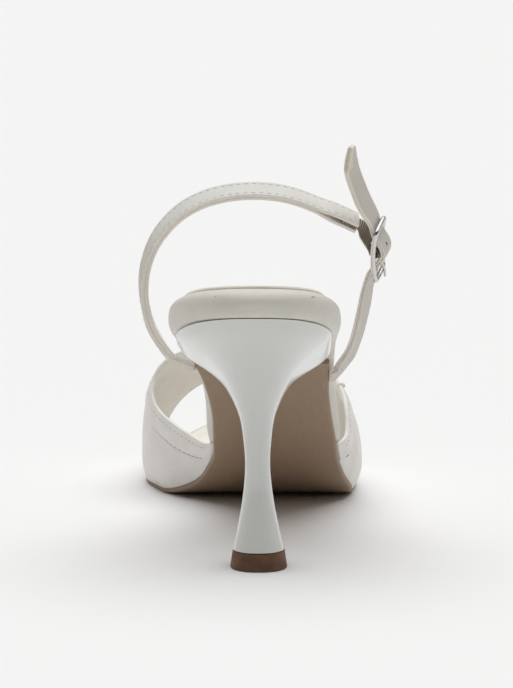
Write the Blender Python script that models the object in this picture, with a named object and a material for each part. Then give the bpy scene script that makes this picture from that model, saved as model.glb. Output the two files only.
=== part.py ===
"""Right slingback sandal on a flared heel, about size 38 with a 9 cm heel.

The shoe is drawn in millimetres on its own axes: x across with the lateral side positive, y forward from
the back of the footbed, z up from the ground. MM turns the finished points into metres.
"""

import math
from collections import namedtuple

import bmesh
import bpy
import numpy as np

MM = 0.001
GAP = 0.3
WELD = 0.0001 * MM
SHARP_ANGLE = math.radians(40)
ORIGIN = (1.7, 117.0, 0.0)

# Sole stack
OUTSOLE = 1.7
OUTSOLE_ROUND = 0.9
SOCK = 0.9
SOCK_INSET = 4.6
SOCK_ROUND = 0.4
BREAST_Y = 55.0
BALL_SEAT = OUTSOLE + GAP
SEAT_DISH = 1.2
HEEL_CURL = 2.4
HEEL_CURL_REACH = 27.0
HEEL_CURL_FADE = (24.0, 52.0)
HEEL_CURL_HEIGHT = 7.0

# Seat line: the underside of the footbed down the middle of the shoe
Seat = namedtuple("Seat", "y z")
SEAT_LINE = (
    Seat(0, 87.0), Seat(12, 84.0), Seat(24, 80.2), Seat(36, 75.3), Seat(48, 69.0), Seat(60, 61.4),
    Seat(75, 50.2), Seat(90, 38.3), Seat(105, 26.4), Seat(115, 18.8), Seat(125, 11.7), Seat(135, 5.9),
    Seat(143, 2.95), Seat(150, 1.85), Seat(178, 1.85), Seat(190, 2.45), Seat(205, 4.2), Seat(220, 7.1),
    Seat(240, 12.2),
)

# Plan of the footbed at the widest line of its rounded edge
Plan = namedtuple("Plan", "y medial lateral")
HEEL_BACK = (0.0, 0.0)
TOE_TIP = (-6.0, 233.0)
FOOTBED_PLAN = (
    Plan(3, -13.5, 13.2), Plan(10, -22.0, 21.5), Plan(24, -28.4, 27.4), Plan(40, -27.9, 27.8),
    Plan(50, -25.2, 26.9), Plan(60, -21.9, 26.6), Plan(76, -18.4, 27.0), Plan(90, -17.3, 28.4),
    Plan(104, -16.9, 29.2), Plan(114, -16.0, 29.6), Plan(124, -19.4, 31.8), Plan(135, -27.8, 34.6),
    Plan(147, -36.0, 35.8), Plan(160, -39.0, 34.9), Plan(178, -38.2, 31.4), Plan(196, -34.8, 25.6),
    Plan(212, -28.8, 18.2), Plan(225, -19.5, 8.8),
)

# How thick the footbed is, and how far the outsole stays inside its edge
Thickness = namedtuple("Thickness", "y footbed")
FOOTBED_THICKNESS = (
    Thickness(0, 9.6), Thickness(50, 9.0), Thickness(80, 7.6), Thickness(110, 6.0),
    Thickness(140, 5.0), Thickness(240, 4.4),
)
Inset = namedtuple("Inset", "y medial lateral")
OUTSOLE_INSET = (
    Inset(50, 2.0, 2.0), Inset(70, 1.7, 1.7), Inset(92, 2.2, 1.8), Inset(104, 1.9, 0.9),
    Inset(112, 0.7, 0.4), Inset(119, -0.2, 0.2), Inset(127, 1.1, 0.4), Inset(134, 1.9, 0.2),
    Inset(143, 2.2, 0.6), Inset(152, 2.0, -0.4), Inset(159, 0.6, -1.9), Inset(166, -1.2, -2.7),
    Inset(178, -1.8, -2.3), Inset(190, -1.4, -1.4), Inset(205, -0.5, -0.5), Inset(240, 0.3, 0.3),
)

# Rounded edge of the footbed, from its underside to its top
Edge = namedtuple("Edge", "height inset")
FOOTBED_EDGE = (
    Edge(0.0, 3.0), Edge(0.12, 1.5), Edge(0.35, 0.2), Edge(0.6, 0.0), Edge(0.85, 0.7), Edge(1.0, 2.4),
)

# Heel rings from the foot of the heel to its cup, each a plane through a back and a front point
Ring = namedtuple("Ring", "back_y back_z front_y front_z half_width corner bow")
TIP_HEIGHT = 6.0
HEEL_LEAN = 0.9
BACK_ROUND = 2.2
HEEL_RINGS = (
    Ring(13.4, 6.3, 31.0, 6.3, 8.5, 3.0, 0.0),
    Ring(15.2, 13.0, 29.6, 13.0, 6.95, 2.8, 0.0),
    Ring(16.9, 21.0, 28.4, 21.0, 5.45, 2.6, 0.0),
    Ring(17.9, 29.0, 27.8, 28.6, 4.45, 2.5, 0.0),
    Ring(17.9, 37.0, 27.8, 35.5, 4.15, 2.5, 0.0),
    Ring(16.7, 46.0, 29.0, 41.5, 4.75, 2.6, 0.0),
    Ring(14.8, 54.0, 31.6, 47.0, 5.9, 2.8, 0.1),
    Ring(12.4, 62.0, 35.0, 52.2, 8.5, 3.0, 0.3),
    Ring(9.6, 70.0, 39.5, 56.5, 12.2, 3.6, 0.8),
    Ring(7.0, 76.5, 44.8, 60.2, 17.8, 4.4, 1.4),
    Ring(4.8, 81.5, 49.6, 63.2, 23.8, 5.0, 2.1),
    Ring(3.0, 86.0, 53.0, 66.0, 26.6, 5.0, 2.6),
)
TipRing = namedtuple("TipRing", "z back_y front_y half_width")
TIP_RINGS = (
    TipRing(0.0, 12.6, 31.7, 9.5), TipRing(3.0, 13.1, 31.3, 8.95), TipRing(TIP_HEIGHT, 13.4, 31.0, 8.6),
)
TIP_CORNER = 3.0

# Vamp: sections of the forefoot, each a crown and how square its two shoulders are
VAMP_WALL = 1.8
VAMP_RIM_WALL = 0.8
VAMP_SKIVE = 7.0
VAMP_TUCK = 1.5
VAMP_TUCK_HEIGHT = 8.0
VAMP_CROWN_X = -8.0
VAMP_RIM = 0.6
COLLAR_WIDTH = 9.9
COLLAR_STEP = 0.7
COLLAR_LIFT = 0.6
Section = namedtuple("Section", "y crown medial_shoulder lateral_shoulder")
VAMP_SECTIONS = (
    Section(105, 69.2, 4.0, 2.25), Section(125, 62.8, 4.0, 2.25), Section(140, 58.2, 3.9, 2.25),
    Section(150, 54.0, 3.7, 2.25), Section(165, 46.7, 3.2, 2.25), Section(180, 38.7, 2.7, 2.2),
    Section(190, 33.2, 2.4, 2.2), Section(200, 28.0, 2.3, 2.2), Section(216, 21.4, 2.3, 2.2),
)
# Rear and front edge of the vamp by the share of the way from its medial to its lateral base
EdgeLine = namedtuple("EdgeLine", "share rear front")
VAMP_EDGES = (
    EdgeLine(0.0, 105.0, 209.0), EdgeLine(0.07, 119.0, 208.5), EdgeLine(0.14, 131.8, 206.0),
    EdgeLine(0.21, 144.6, 201.0), EdgeLine(0.26, 149.4, 196.0), EdgeLine(0.32, 151.7, 190.5),
    EdgeLine(0.38, 152.5, 186.0), EdgeLine(0.5, 153.5, 182.0), EdgeLine(0.62, 150.0, 180.5),
    EdgeLine(0.7, 141.0, 181.5), EdgeLine(0.74, 133.5, 182.5), EdgeLine(0.79, 125.5, 184.0),
    EdgeLine(0.83, 120.5, 185.5), EdgeLine(0.88, 116.5, 187.5), EdgeLine(0.94, 111.8, 190.5),
    EdgeLine(1.0, 105.5, 194.0),
)

# Straps: the loop lies in a plane that leans back from where the straps leave the sole
LOOP_Y = 60.5
LOOP_Z = 59.4
LOOP_LEAN = math.radians(69)
STRAP_WIDTH = 9.0
SLING_THICKNESS = 2.2
SLING_LOW_THICKNESS = 3.0
SLING_LOW_START = 4.0
SLING_LOW_RAMP = 6.0
SLING_LOW_END = 24.0
SLING_LOW_FADE = 26.0
SLING_END_THICKNESS = 3.5
SLING_END_LENGTH = 16.0
SLING_END_RAMP = 8.0
TAIL_THICKNESS = 1.6
LOWER_THICKNESS = 2.1
LOWER_LENGTH = 29.0
LOWER_RAMP = 12.0
SLING_FLARE = 0.12
EXIT_Y = {"medial": 57.9, "lateral": 64.2}
EXIT_OUT = {"medial": -1.0, "lateral": -0.8}
EXIT_DEPTH = 1.35
STRAP_CHAMFER = 0.4
TAIL_POINT = 7.0
TAIL_TIP_WIDTH = 2.4
TAIL_ROUND = 0.7
# Where each strap goes in that plane, and how far it has turned from the sole's edge into the plane
Route = namedtuple("Route", "x rise turn ahead", defaults=(0.0,))
Exit = namedtuple("Exit", "reach medial_rise lateral_rise medial_turn lateral_turn")
STRAP_EXIT = (
    Exit(0.0, 0.0, 0.0, 0.38, 0.25), Exit(1.2, 0.45, 0.8, 0.4, 0.25), Exit(2.3, 1.0, 2.0, 0.42, 0.26),
)
SLING_ROUTE = (
    Route(-27.9, 4.9, 0.48), Route(-31.0, 8.8, 0.58), Route(-33.5, 13.4, 0.7),
    Route(-35.6, 18.4, 0.85), Route(-37.1, 25.0, 0.95), Route(-37.7, 33.0, 1.0), Route(-36.4, 42.4, 1.0),
    Route(-33.8, 49.6, 1.0), Route(-30.2, 55.4, 1.0), Route(-25.0, 61.0, 1.0), Route(-18.7, 65.1, 1.0),
    Route(-10.0, 68.0, 1.0), Route(0.0, 68.9, 1.0), Route(8.5, 68.0, 1.0), Route(14.5, 66.2, 1.0),
    Route(24.4, 61.5, 1.0), Route(29.4, 59.0, 1.0), Route(33.4, 56.9, 1.0),
)
BUCKLE_ROUTE = (
    Route(30.2, 3.2, 0.28, 3.5), Route(32.3, 7.9, 0.4, 2.6), Route(33.9, 12.9, 0.62, 1.5),
    Route(35.3, 19.5, 0.85, 0.6), Route(36.4, 26.0, 1.0), Route(37.6, 33.0, 1.0),
)
TAIL_ROUTE = (
    Route(36.2, 63.6, 1.0), Route(33.2, 71.2, 1.0), Route(31.2, 78.6, 1.0), Route(31.4, 85.4, 1.0),
)

# Buckle: its centre in the loop plane, its bars, and the strap's wave through it
BUCKLE_X = 41.6
BUCKLE_RISE = 47.0
BUCKLE_TURN = math.radians(15)
FREE_TURN = math.radians(23)
FRAME_HALF_LENGTH = 8.6
FRAME_HALF_WIDTH = 6.0
FRAME_CORNER = 2.0
FRAME_BAR = 0.85
CENTRE_BAR = 0.75
CENTRE_BAR_DEPTH = -1.0
ELASTIC_WIDTH = 8.0
ELASTIC_THICKNESS = 0.9
ELASTIC_SEAT = 6.0
ELASTIC_SLOT_MARGIN = 4.0
ELASTIC_WRAP = (180.0, 400.0)
ELASTIC_ROUTE = (Route(35.9, 55.2, 1.0), Route(37.9, 52.6, 1.0))
PRONG_RING_WALL = 0.9
PRONG_RING_WIDTH = 2.0
PRONG_SLOT = 2.7
PRONG_SLOT_ALONG = (-4.0, 2.6)
PRONG_SLOT_OUT = (-4.0, 2.5)
PRONG_RADIUS = 0.55
PRONG_TIP_RADIUS = 0.4
PRONG_HOLE = 1.0
Reach = namedtuple("Reach", "along out")
PRONG_ROUTE = (
    Reach(-1.75, -0.55), Reach(-3.6, 0.25), Reach(-6.0, 1.2), Reach(-8.4, 1.8), Reach(-10.1, 1.85),
)

# Facets
SOLE_STATIONS = 36
EDGE_SAMPLES = 720
HEEL_SIDES = 36
HEEL_LEVELS = 24
VAMP_COLUMNS = 40
VAMP_ROWS = 12
VAMP_ROW_SPREAD = 1.25
STRAP_STEPS = 56
BAR_SIDES = 8
CAP_COLUMNS = 4
TUCK_SAMPLES = 12
ARCH_SAMPLES = 121
BUCKLE_STEPS = 70
ELASTIC_STEPS = 40
WAVE_POINTS = 9
WRAP_POINTS = 9
CORNER_POINTS = 4
SIDE_PIECES = 6

CREAM = (0.80, 0.775, 0.73)
WHITE = (0.83, 0.845, 0.85)
TAUPE = (0.30, 0.235, 0.19)
BROWN = (0.19, 0.10, 0.065)
NICKEL = (0.66, 0.65, 0.63)
ELASTIC = (0.36, 0.32, 0.27)


def column(table, name):
    return np.array([getattr(row, name) for row in table], float)


def spline(knots, values):
    """Natural cubic curve through values, which may have several columns, at rising knots."""
    knots = np.asarray(knots, float)
    values = np.asarray(values, float)
    step = np.diff(knots)
    count = len(knots)
    system = np.eye(count)
    pull = np.zeros(values.shape)
    for i in range(1, count - 1):
        system[i, i - 1:i + 2] = step[i - 1], 2 * (step[i - 1] + step[i]), step[i]
        rise_after = (values[i + 1] - values[i]) / step[i]
        rise_before = (values[i] - values[i - 1]) / step[i - 1]
        pull[i] = 6 * (rise_after - rise_before)
    bend = np.linalg.solve(system, pull)

    def at(where):
        where = np.clip(np.asarray(where, float), knots[0], knots[-1])
        i = np.clip(np.searchsorted(knots, where) - 1, 0, count - 2)
        width = step[i]
        left = (knots[i + 1] - where) / width
        right = 1 - left
        if values.ndim > 1:
            left, right, width = left[..., None], right[..., None], width[..., None]
        flat = left * values[i] + right * values[i + 1]
        curl = (left ** 3 - left) * bend[i] + (right ** 3 - right) * bend[i + 1]
        return flat + curl * width ** 2 / 6

    return at


def table_curve(table, across, value):
    return spline(column(table, across), column(table, value))


def chord_lengths(points):
    steps = np.linalg.norm(np.diff(points, axis=0), axis=1)
    return np.concatenate([[0.0], np.cumsum(steps)])


def closed_curve(points, count):
    """Smooth closed line through points, sampled evenly."""
    ring = np.array(points, float)
    wrap = 4
    padded = np.vstack([ring[-wrap:], ring, ring[:wrap + 1]])
    along = chord_lengths(padded)
    line = spline(along, padded)
    return line(np.linspace(along[wrap], along[wrap + len(ring)], count, endpoint=False))


def unit(vectors):
    vectors = np.asarray(vectors, float)
    return vectors / np.linalg.norm(vectors, axis=-1, keepdims=True)


def signed_power(base, power):
    return np.sign(base) * np.abs(base) ** power


def ease(share):
    """Smooth step from 0 to 1."""
    share = np.clip(share, 0, 1)
    return share * share * (3 - 2 * share)


class Skin:
    """Points and faces of one body."""

    def __init__(self):
        self.points = []
        self.faces = []

    def line(self, points):
        first = len(self.points)
        self.points.extend(np.asarray(points, float).tolist())
        return list(range(first, len(self.points)))

    def bridge(self, one, other):
        for i in range(len(one) - 1):
            self.faces.append((one[i], one[i + 1], other[i + 1], other[i]))

    def loop(self, one, other):
        self.bridge(one + one[:1], other + other[:1])


seat_curve = table_curve(SEAT_LINE, "y", "z")
footbed_thickness = table_curve(FOOTBED_THICKNESS, "y", "footbed")
medial_inset = table_curve(OUTSOLE_INSET, "y", "medial")
lateral_inset = table_curve(OUTSOLE_INSET, "y", "lateral")
vamp_crown = table_curve(VAMP_SECTIONS, "y", "crown")
medial_shoulder = table_curve(VAMP_SECTIONS, "y", "medial_shoulder")
lateral_shoulder = table_curve(VAMP_SECTIONS, "y", "lateral_shoulder")
vamp_rear = table_curve(VAMP_EDGES, "share", "rear")
vamp_front = table_curve(VAMP_EDGES, "share", "front")


def seat_height(y):
    return np.maximum(seat_curve(y), BALL_SEAT)


def seat_slope(y):
    reach = 0.5
    return (seat_height(y + reach) - seat_height(y - reach)) / (2 * reach)


def on_sole(x, y, height):
    """Points at a height square to the seat line, whose underside curls down to both sides of the heel."""
    y = np.asarray(y, float)
    slope = seat_slope(y)
    square = np.sqrt(1 + slope ** 2)
    forward = y - height * slope / square
    fade_start, fade_end = HEEL_CURL_FADE
    curl = HEEL_CURL * (np.asarray(x) / HEEL_CURL_REACH) ** 2
    curl = curl * (1 - ease((y - fade_start) / (fade_end - fade_start)))
    curl = curl * (1 - ease(height / HEEL_CURL_HEIGHT))
    up = seat_height(y) + height / square - curl
    return np.stack(np.broadcast_arrays(np.asarray(x, float), forward, np.maximum(up, 0.0)), axis=-1)


def footbed_outline():
    medial = [(row.medial, row.y) for row in FOOTBED_PLAN]
    lateral = [(row.lateral, row.y) for row in reversed(FOOTBED_PLAN)]
    line = closed_curve([HEEL_BACK, *medial, TOE_TIP, *lateral], EDGE_SAMPLES)
    along = unit(np.roll(line, -1, axis=0) - np.roll(line, 1, axis=0))
    outward = np.stack([-along[:, 1], along[:, 0]], axis=-1)
    return line, outward


EDGE_LINE, EDGE_OUTWARD = footbed_outline()


def outsole_inset(x, y):
    return np.where(x < 0, medial_inset(y), lateral_inset(y))


def edge_sides(inset):
    """Medial and lateral edge, back to toe, of the footbed's plan drawn in by a size or a function."""
    depth = inset(*EDGE_LINE.T) if callable(inset) else np.full(EDGE_SAMPLES, inset)
    line = EDGE_LINE - EDGE_OUTWARD * depth[:, None]
    line = np.roll(line, -int(np.argmin(line[:, 1])), axis=0)
    toe = int(np.argmax(line[:, 1]))
    return line[:toe + 1], np.vstack([line[toe:], line[:1]])[::-1]


def edge_stations(inset, start=None):
    """Stations down the sole: y, medial x and lateral x. A start cuts the back off square."""
    medial, lateral = edge_sides(inset)
    share = np.linspace(0, 1, SOLE_STATIONS + 1)
    if start is None:
        share = (share + (1 - np.cos(math.pi * share)) / 2) / 2
        start = medial[0, 1]
    else:
        share = (share + np.sin(math.pi / 2 * share)) / 2
    y = start + (medial[-1, 1] - start) * share
    return y, np.interp(y, medial[:, 1], medial[:, 0]), np.interp(y, lateral[:, 1], lateral[:, 0])


def sole_sheet(layers, dish_under=0.0, dish_over=0.0):
    """Body through edge layers from the underside up, each with its stations and heights over the seat.

    The underside and the top may each be dished across the shoe.
    """
    skin = Skin()
    rings = []
    for (y, medial, lateral), height in layers:
        near = skin.line(on_sole(medial, y, height))
        far = skin.line(on_sole(lateral, y, height))
        rings.append((near, far))
    for (near, far), (near_up, far_up) in zip(rings, rings[1:]):
        skin.loop(near + far[::-1], near_up + far_up[::-1])
    for ring, layer, sink in ((rings[0], layers[0], dish_under), (rings[-1], layers[-1], dish_over)):
        (y, medial, lateral), height = layer
        columns = CAP_COLUMNS if sink else 1
        lines = [ring[0]]
        for i in range(1, columns):
            share = i / columns
            hollow = sink * 4 * share * (1 - share)
            lines.append(skin.line(on_sole(medial + (lateral - medial) * share, y, height - hollow)))
        lines.append(ring[1])
        for one, other in zip(lines, lines[1:]):
            skin.bridge(one, other)
    return skin


def footbed_skin():
    layers = []
    for row in FOOTBED_EDGE:
        stations = edge_stations(row.inset)
        layers.append((stations, row.height * footbed_thickness(stations[0])))
    return sole_sheet(layers, dish_over=SEAT_DISH)


def sock_skin():
    layers = []
    for lift, extra in ((0.0, 0.0), (SOCK - SOCK_ROUND, 0.0), (SOCK, SOCK_ROUND)):
        stations = edge_stations(SOCK_INSET + extra)
        layers.append((stations, footbed_thickness(stations[0]) + GAP + lift))
    return sole_sheet(layers, SEAT_DISH, SEAT_DISH)


def outsole_skin():
    layers = []
    for lift, extra in ((0.0, OUTSOLE_ROUND), (OUTSOLE_ROUND, 0.0), (OUTSOLE, 0.0)):
        height = lift - OUTSOLE - GAP
        stations = edge_stations(lambda x, y, more=extra: outsole_inset(x, y) + more, BREAST_Y + GAP)
        layers.append((stations, height))
    return sole_sheet(layers)


def heel_outline(back, front, half_width, corner, sides):
    """Rounded outline in plan: a soft back, and a front that is squarer as corner grows."""
    angle = 2 * math.pi * (np.arange(sides) + 0.5) / sides
    power = np.where(np.sin(angle) > 0, 2 / corner, 2 / BACK_ROUND)
    x = half_width * signed_power(np.cos(angle), power)
    y = (back + front) / 2 + (front - back) / 2 * signed_power(np.sin(angle), power)
    return x, y


def across_cap(skin, ring):
    """Close a ring whose points pair up across the shoe with strips from side to side."""
    half = len(ring) // 2
    quarter = half // 2
    right = ring[-quarter:] + ring[:quarter]
    left = ring[quarter:quarter + half][::-1]
    skin.bridge(right, left)


def heel_skin():
    skin = Skin()
    place = np.arange(len(HEEL_RINGS))
    rows = spline(place, np.array(HEEL_RINGS, float))(np.linspace(0, place[-1], HEEL_LEVELS + 1))
    rings = []
    for level, row in enumerate(rows):
        ring = Ring(*row)
        x, y = heel_outline(ring.back_y, ring.front_y, ring.half_width, ring.corner, HEEL_SIDES)
        share = (y - ring.back_y) / (ring.front_y - ring.back_y)
        z = ring.back_z + (ring.front_z - ring.back_z) * share + ring.bow * 4 * share * (1 - share)
        points = np.stack([x + HEEL_LEAN * (1 - z / SEAT_LINE[0].z), y, z], axis=-1)
        if level == HEEL_LEVELS:
            points = on_sole(points[:, 0], y, -GAP)
        rings.append(skin.line(points))
    for one, other in zip(rings, rings[1:]):
        skin.loop(one, other)
    across_cap(skin, rings[0])
    across_cap(skin, rings[-1])
    return skin


def heel_tip_skin():
    skin = Skin()
    rings = []
    for row in TIP_RINGS:
        x, y = heel_outline(row.back_y, row.front_y, row.half_width, TIP_CORNER, HEEL_SIDES)
        rings.append(skin.line(np.stack([x + HEEL_LEAN, y, np.full(HEEL_SIDES, row.z)], axis=-1)))
    for one, other in zip(rings, rings[1:]):
        skin.loop(one, other)
    skin.faces.append(tuple(rings[0]))
    skin.faces.append(tuple(rings[-1]))
    return skin


VAMP_MEDIAL_EDGE, VAMP_LATERAL_EDGE = edge_sides(-(GAP + VAMP_WALL + VAMP_TUCK / 2))


def vamp_section(y):
    """Outer face of the forefoot across the shoe at y, from the medial to the lateral base."""
    medial = np.interp(y, VAMP_MEDIAL_EDGE[:, 1], VAMP_MEDIAL_EDGE[:, 0])
    lateral = np.interp(y, VAMP_LATERAL_EDGE[:, 1], VAMP_LATERAL_EDGE[:, 0])
    base = float(seat_height(y))
    wide = base + VAMP_TUCK_HEIGHT
    climb = np.linspace(0, 1, TUCK_SAMPLES, endpoint=False)
    tuck = VAMP_TUCK * (1 - climb) ** 2
    rising = base + climb * VAMP_TUCK_HEIGHT
    angle = np.linspace(0, math.pi, ARCH_SAMPLES)
    shoulder = np.where(angle < math.pi / 2, medial_shoulder(y), lateral_shoulder(y))
    reach = np.where(angle < math.pi / 2, VAMP_CROWN_X - medial, lateral - VAMP_CROWN_X)
    x = VAMP_CROWN_X - reach * signed_power(np.cos(angle), 2 / shoulder)
    z = wide + (float(vamp_crown(y)) - wide) * np.abs(np.sin(angle)) ** (2 / shoulder)
    x = np.concatenate([medial + tuck, x, (lateral - tuck)[::-1]])
    z = np.concatenate([rising, z, rising[::-1]])
    return np.stack([x, z], axis=-1)


def vamp_point(share, y):
    section = vamp_section(y)
    along = chord_lengths(section)
    where = share * along[-1]
    return np.array([np.interp(where, along, section[:, 0]), y, np.interp(where, along, section[:, 1])])


def vamp_normal(share, y):
    """Outward direction of the vamp's face, level at the base, where the wall stands on the sole."""
    nudge = 0.004
    reach = 0.6
    level_share = 0.04
    low, high = max(share - nudge, 0.0), min(share + nudge, 1.0)
    around = vamp_point(high, y) - vamp_point(low, y)
    along = vamp_point(share, y + reach) - vamp_point(share, y - reach)
    normal = unit(np.cross(around, along))
    normal[2] *= min(1.0, min(share, 1 - share) / level_share)
    return unit(normal)


def vamp_wall(rear, front, y):
    """Thickness of the wall, skived towards the rear and the front rim."""
    inward = min(y - rear, front - y)
    return VAMP_RIM_WALL + (VAMP_WALL - VAMP_RIM_WALL) * ease(inward / VAMP_SKIVE)


def vamp_skin():
    skin = Skin()
    shares = np.linspace(0, 1, VAMP_COLUMNS + 1)
    fixed = [VAMP_RIM, COLLAR_WIDTH / 2, COLLAR_WIDTH, COLLAR_WIDTH + COLLAR_STEP]
    outer, inner, rear_rim, front_rim = [], [], [], []
    for share in shares:
        rear, front = float(vamp_rear(share)), float(vamp_front(share))
        start, end = rear + fixed[-1], front - VAMP_RIM
        rest = start + (end - start) * np.linspace(0, 1, VAMP_ROWS + 1)[1:] ** VAMP_ROW_SPREAD
        places = [rear + distance for distance in fixed] + rest.tolist()
        lifts = [COLLAR_LIFT * (distance <= COLLAR_WIDTH) for distance in fixed] + [0.0] * VAMP_ROWS
        out, within = [], []
        for y, lift in zip(places, lifts):
            point, normal = vamp_point(share, y), vamp_normal(share, y)
            out.append(point + normal * lift)
            within.append(point - normal * vamp_wall(rear, front, y))
        outer.append(skin.line(out))
        inner.append(skin.line(within))
        for rim, y, middle in (
            (rear_rim, rear, (COLLAR_LIFT - VAMP_RIM_WALL) / 2), (front_rim, front, -VAMP_RIM_WALL / 2),
        ):
            rim.append(vamp_point(share, y) + vamp_normal(share, y) * middle)
    for near, far in zip(range(VAMP_COLUMNS), range(1, VAMP_COLUMNS + 1)):
        skin.bridge(outer[near], outer[far])
        skin.bridge(inner[far], inner[near])
    rear_line, front_line = skin.line(rear_rim), skin.line(front_rim)
    for row, rim in ((0, rear_line), (-1, front_line)):
        skin.bridge([line[row] for line in outer], rim)
        skin.bridge(rim, [line[row] for line in inner])
    for end in (0, -1):
        skin.bridge(outer[end], inner[end])
        skin.faces.append((outer[end][0], inner[end][0], rear_line[end]))
        skin.faces.append((outer[end][-1], inner[end][-1], front_line[end]))
    return skin


ACROSS = np.array([1.0, 0.0, 0.0])
AHEAD = np.array([0.0, 1.0, 0.0])
LOOP_RISE = np.array([0.0, -math.cos(LOOP_LEAN), math.sin(LOOP_LEAN)])
LOOP_FORWARD = np.array([0.0, math.sin(LOOP_LEAN), math.cos(LOOP_LEAN)])
BUCKLE_OUT = ACROSS * math.cos(BUCKLE_TURN) - LOOP_FORWARD * math.sin(BUCKLE_TURN)
BUCKLE_ACROSS = ACROSS * math.sin(BUCKLE_TURN) + LOOP_FORWARD * math.cos(BUCKLE_TURN)
FREE_ACROSS = ACROSS * math.sin(FREE_TURN) + LOOP_FORWARD * math.cos(FREE_TURN)


def loop_point(x, rise):
    return np.array([x, LOOP_Y, LOOP_Z]) + LOOP_RISE * rise


def buckle_point(along, out, across=0.0):
    centre = loop_point(BUCKLE_X, BUCKLE_RISE)
    return centre + LOOP_RISE * along + BUCKLE_OUT * out + BUCKLE_ACROSS * across


def sole_edge_direction(y):
    slope = float(seat_slope(y))
    return unit([0.0, 1.0, slope])


def route_rows(route, finish):
    """Points of a route, each with the strap's width direction, turning from the sole's edge to finish."""
    edge = sole_edge_direction(LOOP_Y)
    points = [loop_point(row.x, row.rise) + AHEAD * row.ahead for row in route]
    widths = [unit(edge * (1 - row.turn) + finish * row.turn) for row in route]
    return points, widths


def exit_rows(side):
    """Where a strap comes out from beside the outsole and climbs round the footbed's edge."""
    medial, lateral = edge_sides(0.0)
    line, away = (medial, -1.0) if side == "medial" else (lateral, 1.0)
    turns, rises = column(STRAP_EXIT, side + "_turn"), column(STRAP_EXIT, side + "_rise")
    place = EXIT_Y[side]
    edge = abs(np.interp(place, line[:, 1], line[:, 0])) + EXIT_OUT[side]
    along = sole_edge_direction(place)
    points, widths = [], []
    for row, turn, rise in zip(STRAP_EXIT, turns, rises):
        points.append(on_sole(away * (edge + row.reach), place, rise - EXIT_DEPTH))
        widths.append(unit(along * (1 - turn) + LOOP_FORWARD * turn))
    return points, widths


def sweep(points, widths, section, steps):
    """Body along a smooth line through points. section gives the outline's (width, face) pairs by length."""
    points = np.array(points)
    along = chord_lengths(points)
    path, side_hint = spline(along, points), spline(along, np.array(widths))
    skin = Skin()
    rings = []
    for length in np.linspace(0, along[-1], steps + 1):
        reach = 0.2
        tangent = unit(path(length + reach) - path(length - reach))
        side = side_hint(length)
        side = unit(side - tangent * np.dot(side, tangent))
        face = np.cross(side, tangent)
        rings.append(skin.line([path(length) + side * a + face * b for a, b in section(length, along[-1])]))
    for one, other in zip(rings, rings[1:]):
        skin.loop(one, other)
    skin.faces.append(tuple(rings[0]))
    skin.faces.append(tuple(rings[-1]))
    return skin


def strap_outline(width, thickness):
    """Rectangle with its corners taken off."""
    a, b = width / 2, thickness / 2
    c = min(STRAP_CHAMFER, a / 2, b / 2)
    corner = ((a, b - c), (a - c, b))
    return [
        *corner, *((-u, v) for u, v in reversed(corner)),
        *((-u, -v) for u, v in corner), *((u, -v) for u, v in reversed(corner)),
    ]


def sling_rows():
    start, edges = exit_rows("medial")
    points, widths = route_rows(SLING_ROUTE, LOOP_FORWARD)
    reach = min(column(SLING_ROUTE, "x"))
    flared = [
        unit(width - ACROSS * SLING_FLARE * max(row.x / reach, 0.0))
        for width, row in zip(widths, SLING_ROUTE)
    ]
    return start + points, edges + flared


def sling_thickness(length, total):
    """The strap is stouter on its way up from the sole, and at its end, where it takes the elastic."""
    low = ease((length - SLING_LOW_START) / SLING_LOW_RAMP)
    low = low * (1 - ease((length - SLING_LOW_END) / SLING_LOW_FADE))
    swell = ease((length - total + SLING_END_LENGTH) / SLING_END_RAMP)
    stouter = (SLING_LOW_THICKNESS - SLING_THICKNESS) * low
    return SLING_THICKNESS + stouter + (SLING_END_THICKNESS - SLING_THICKNESS) * swell


def sling_skin():
    points, widths = sling_rows()

    def section(length, total):
        return strap_outline(STRAP_WIDTH, sling_thickness(length, total))

    return sweep(points, widths, section, STRAP_STEPS)


def strap_wave(along):
    """How far the strap stands out as it passes under one end bar, over the centre bar and under again."""
    low = -(FRAME_BAR + GAP + TAIL_THICKNESS / 2)
    high = CENTRE_BAR_DEPTH + CENTRE_BAR + 2 * GAP + ELASTIC_THICKNESS + TAIL_THICKNESS / 2
    return (low + high) / 2 + (high - low) / 2 * math.cos(math.pi * along / FRAME_HALF_LENGTH)


def buckle_strap_skin():
    start, edges = exit_rows("lateral")
    points, widths = route_rows(BUCKLE_ROUTE, FREE_ACROSS)
    points, widths = start + points, edges + widths
    for along in np.linspace(-FRAME_HALF_LENGTH, FRAME_HALF_LENGTH, WAVE_POINTS):
        points.append(buckle_point(along, strap_wave(along)))
        widths.append(BUCKLE_ACROSS)
    tail_points, tail_widths = route_rows(TAIL_ROUTE, FREE_ACROSS)
    points += tail_points
    widths += tail_widths

    def section(length, total):
        taper = np.clip((total - length) / TAIL_POINT, 0, 1) ** TAIL_ROUND
        width = TAIL_TIP_WIDTH + (STRAP_WIDTH - TAIL_TIP_WIDTH) * taper
        thinning = ease((length - LOWER_LENGTH) / LOWER_RAMP)
        return strap_outline(width, LOWER_THICKNESS + (TAIL_THICKNESS - LOWER_THICKNESS) * thinning)

    return sweep(points, widths, section, BUCKLE_STEPS)


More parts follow.
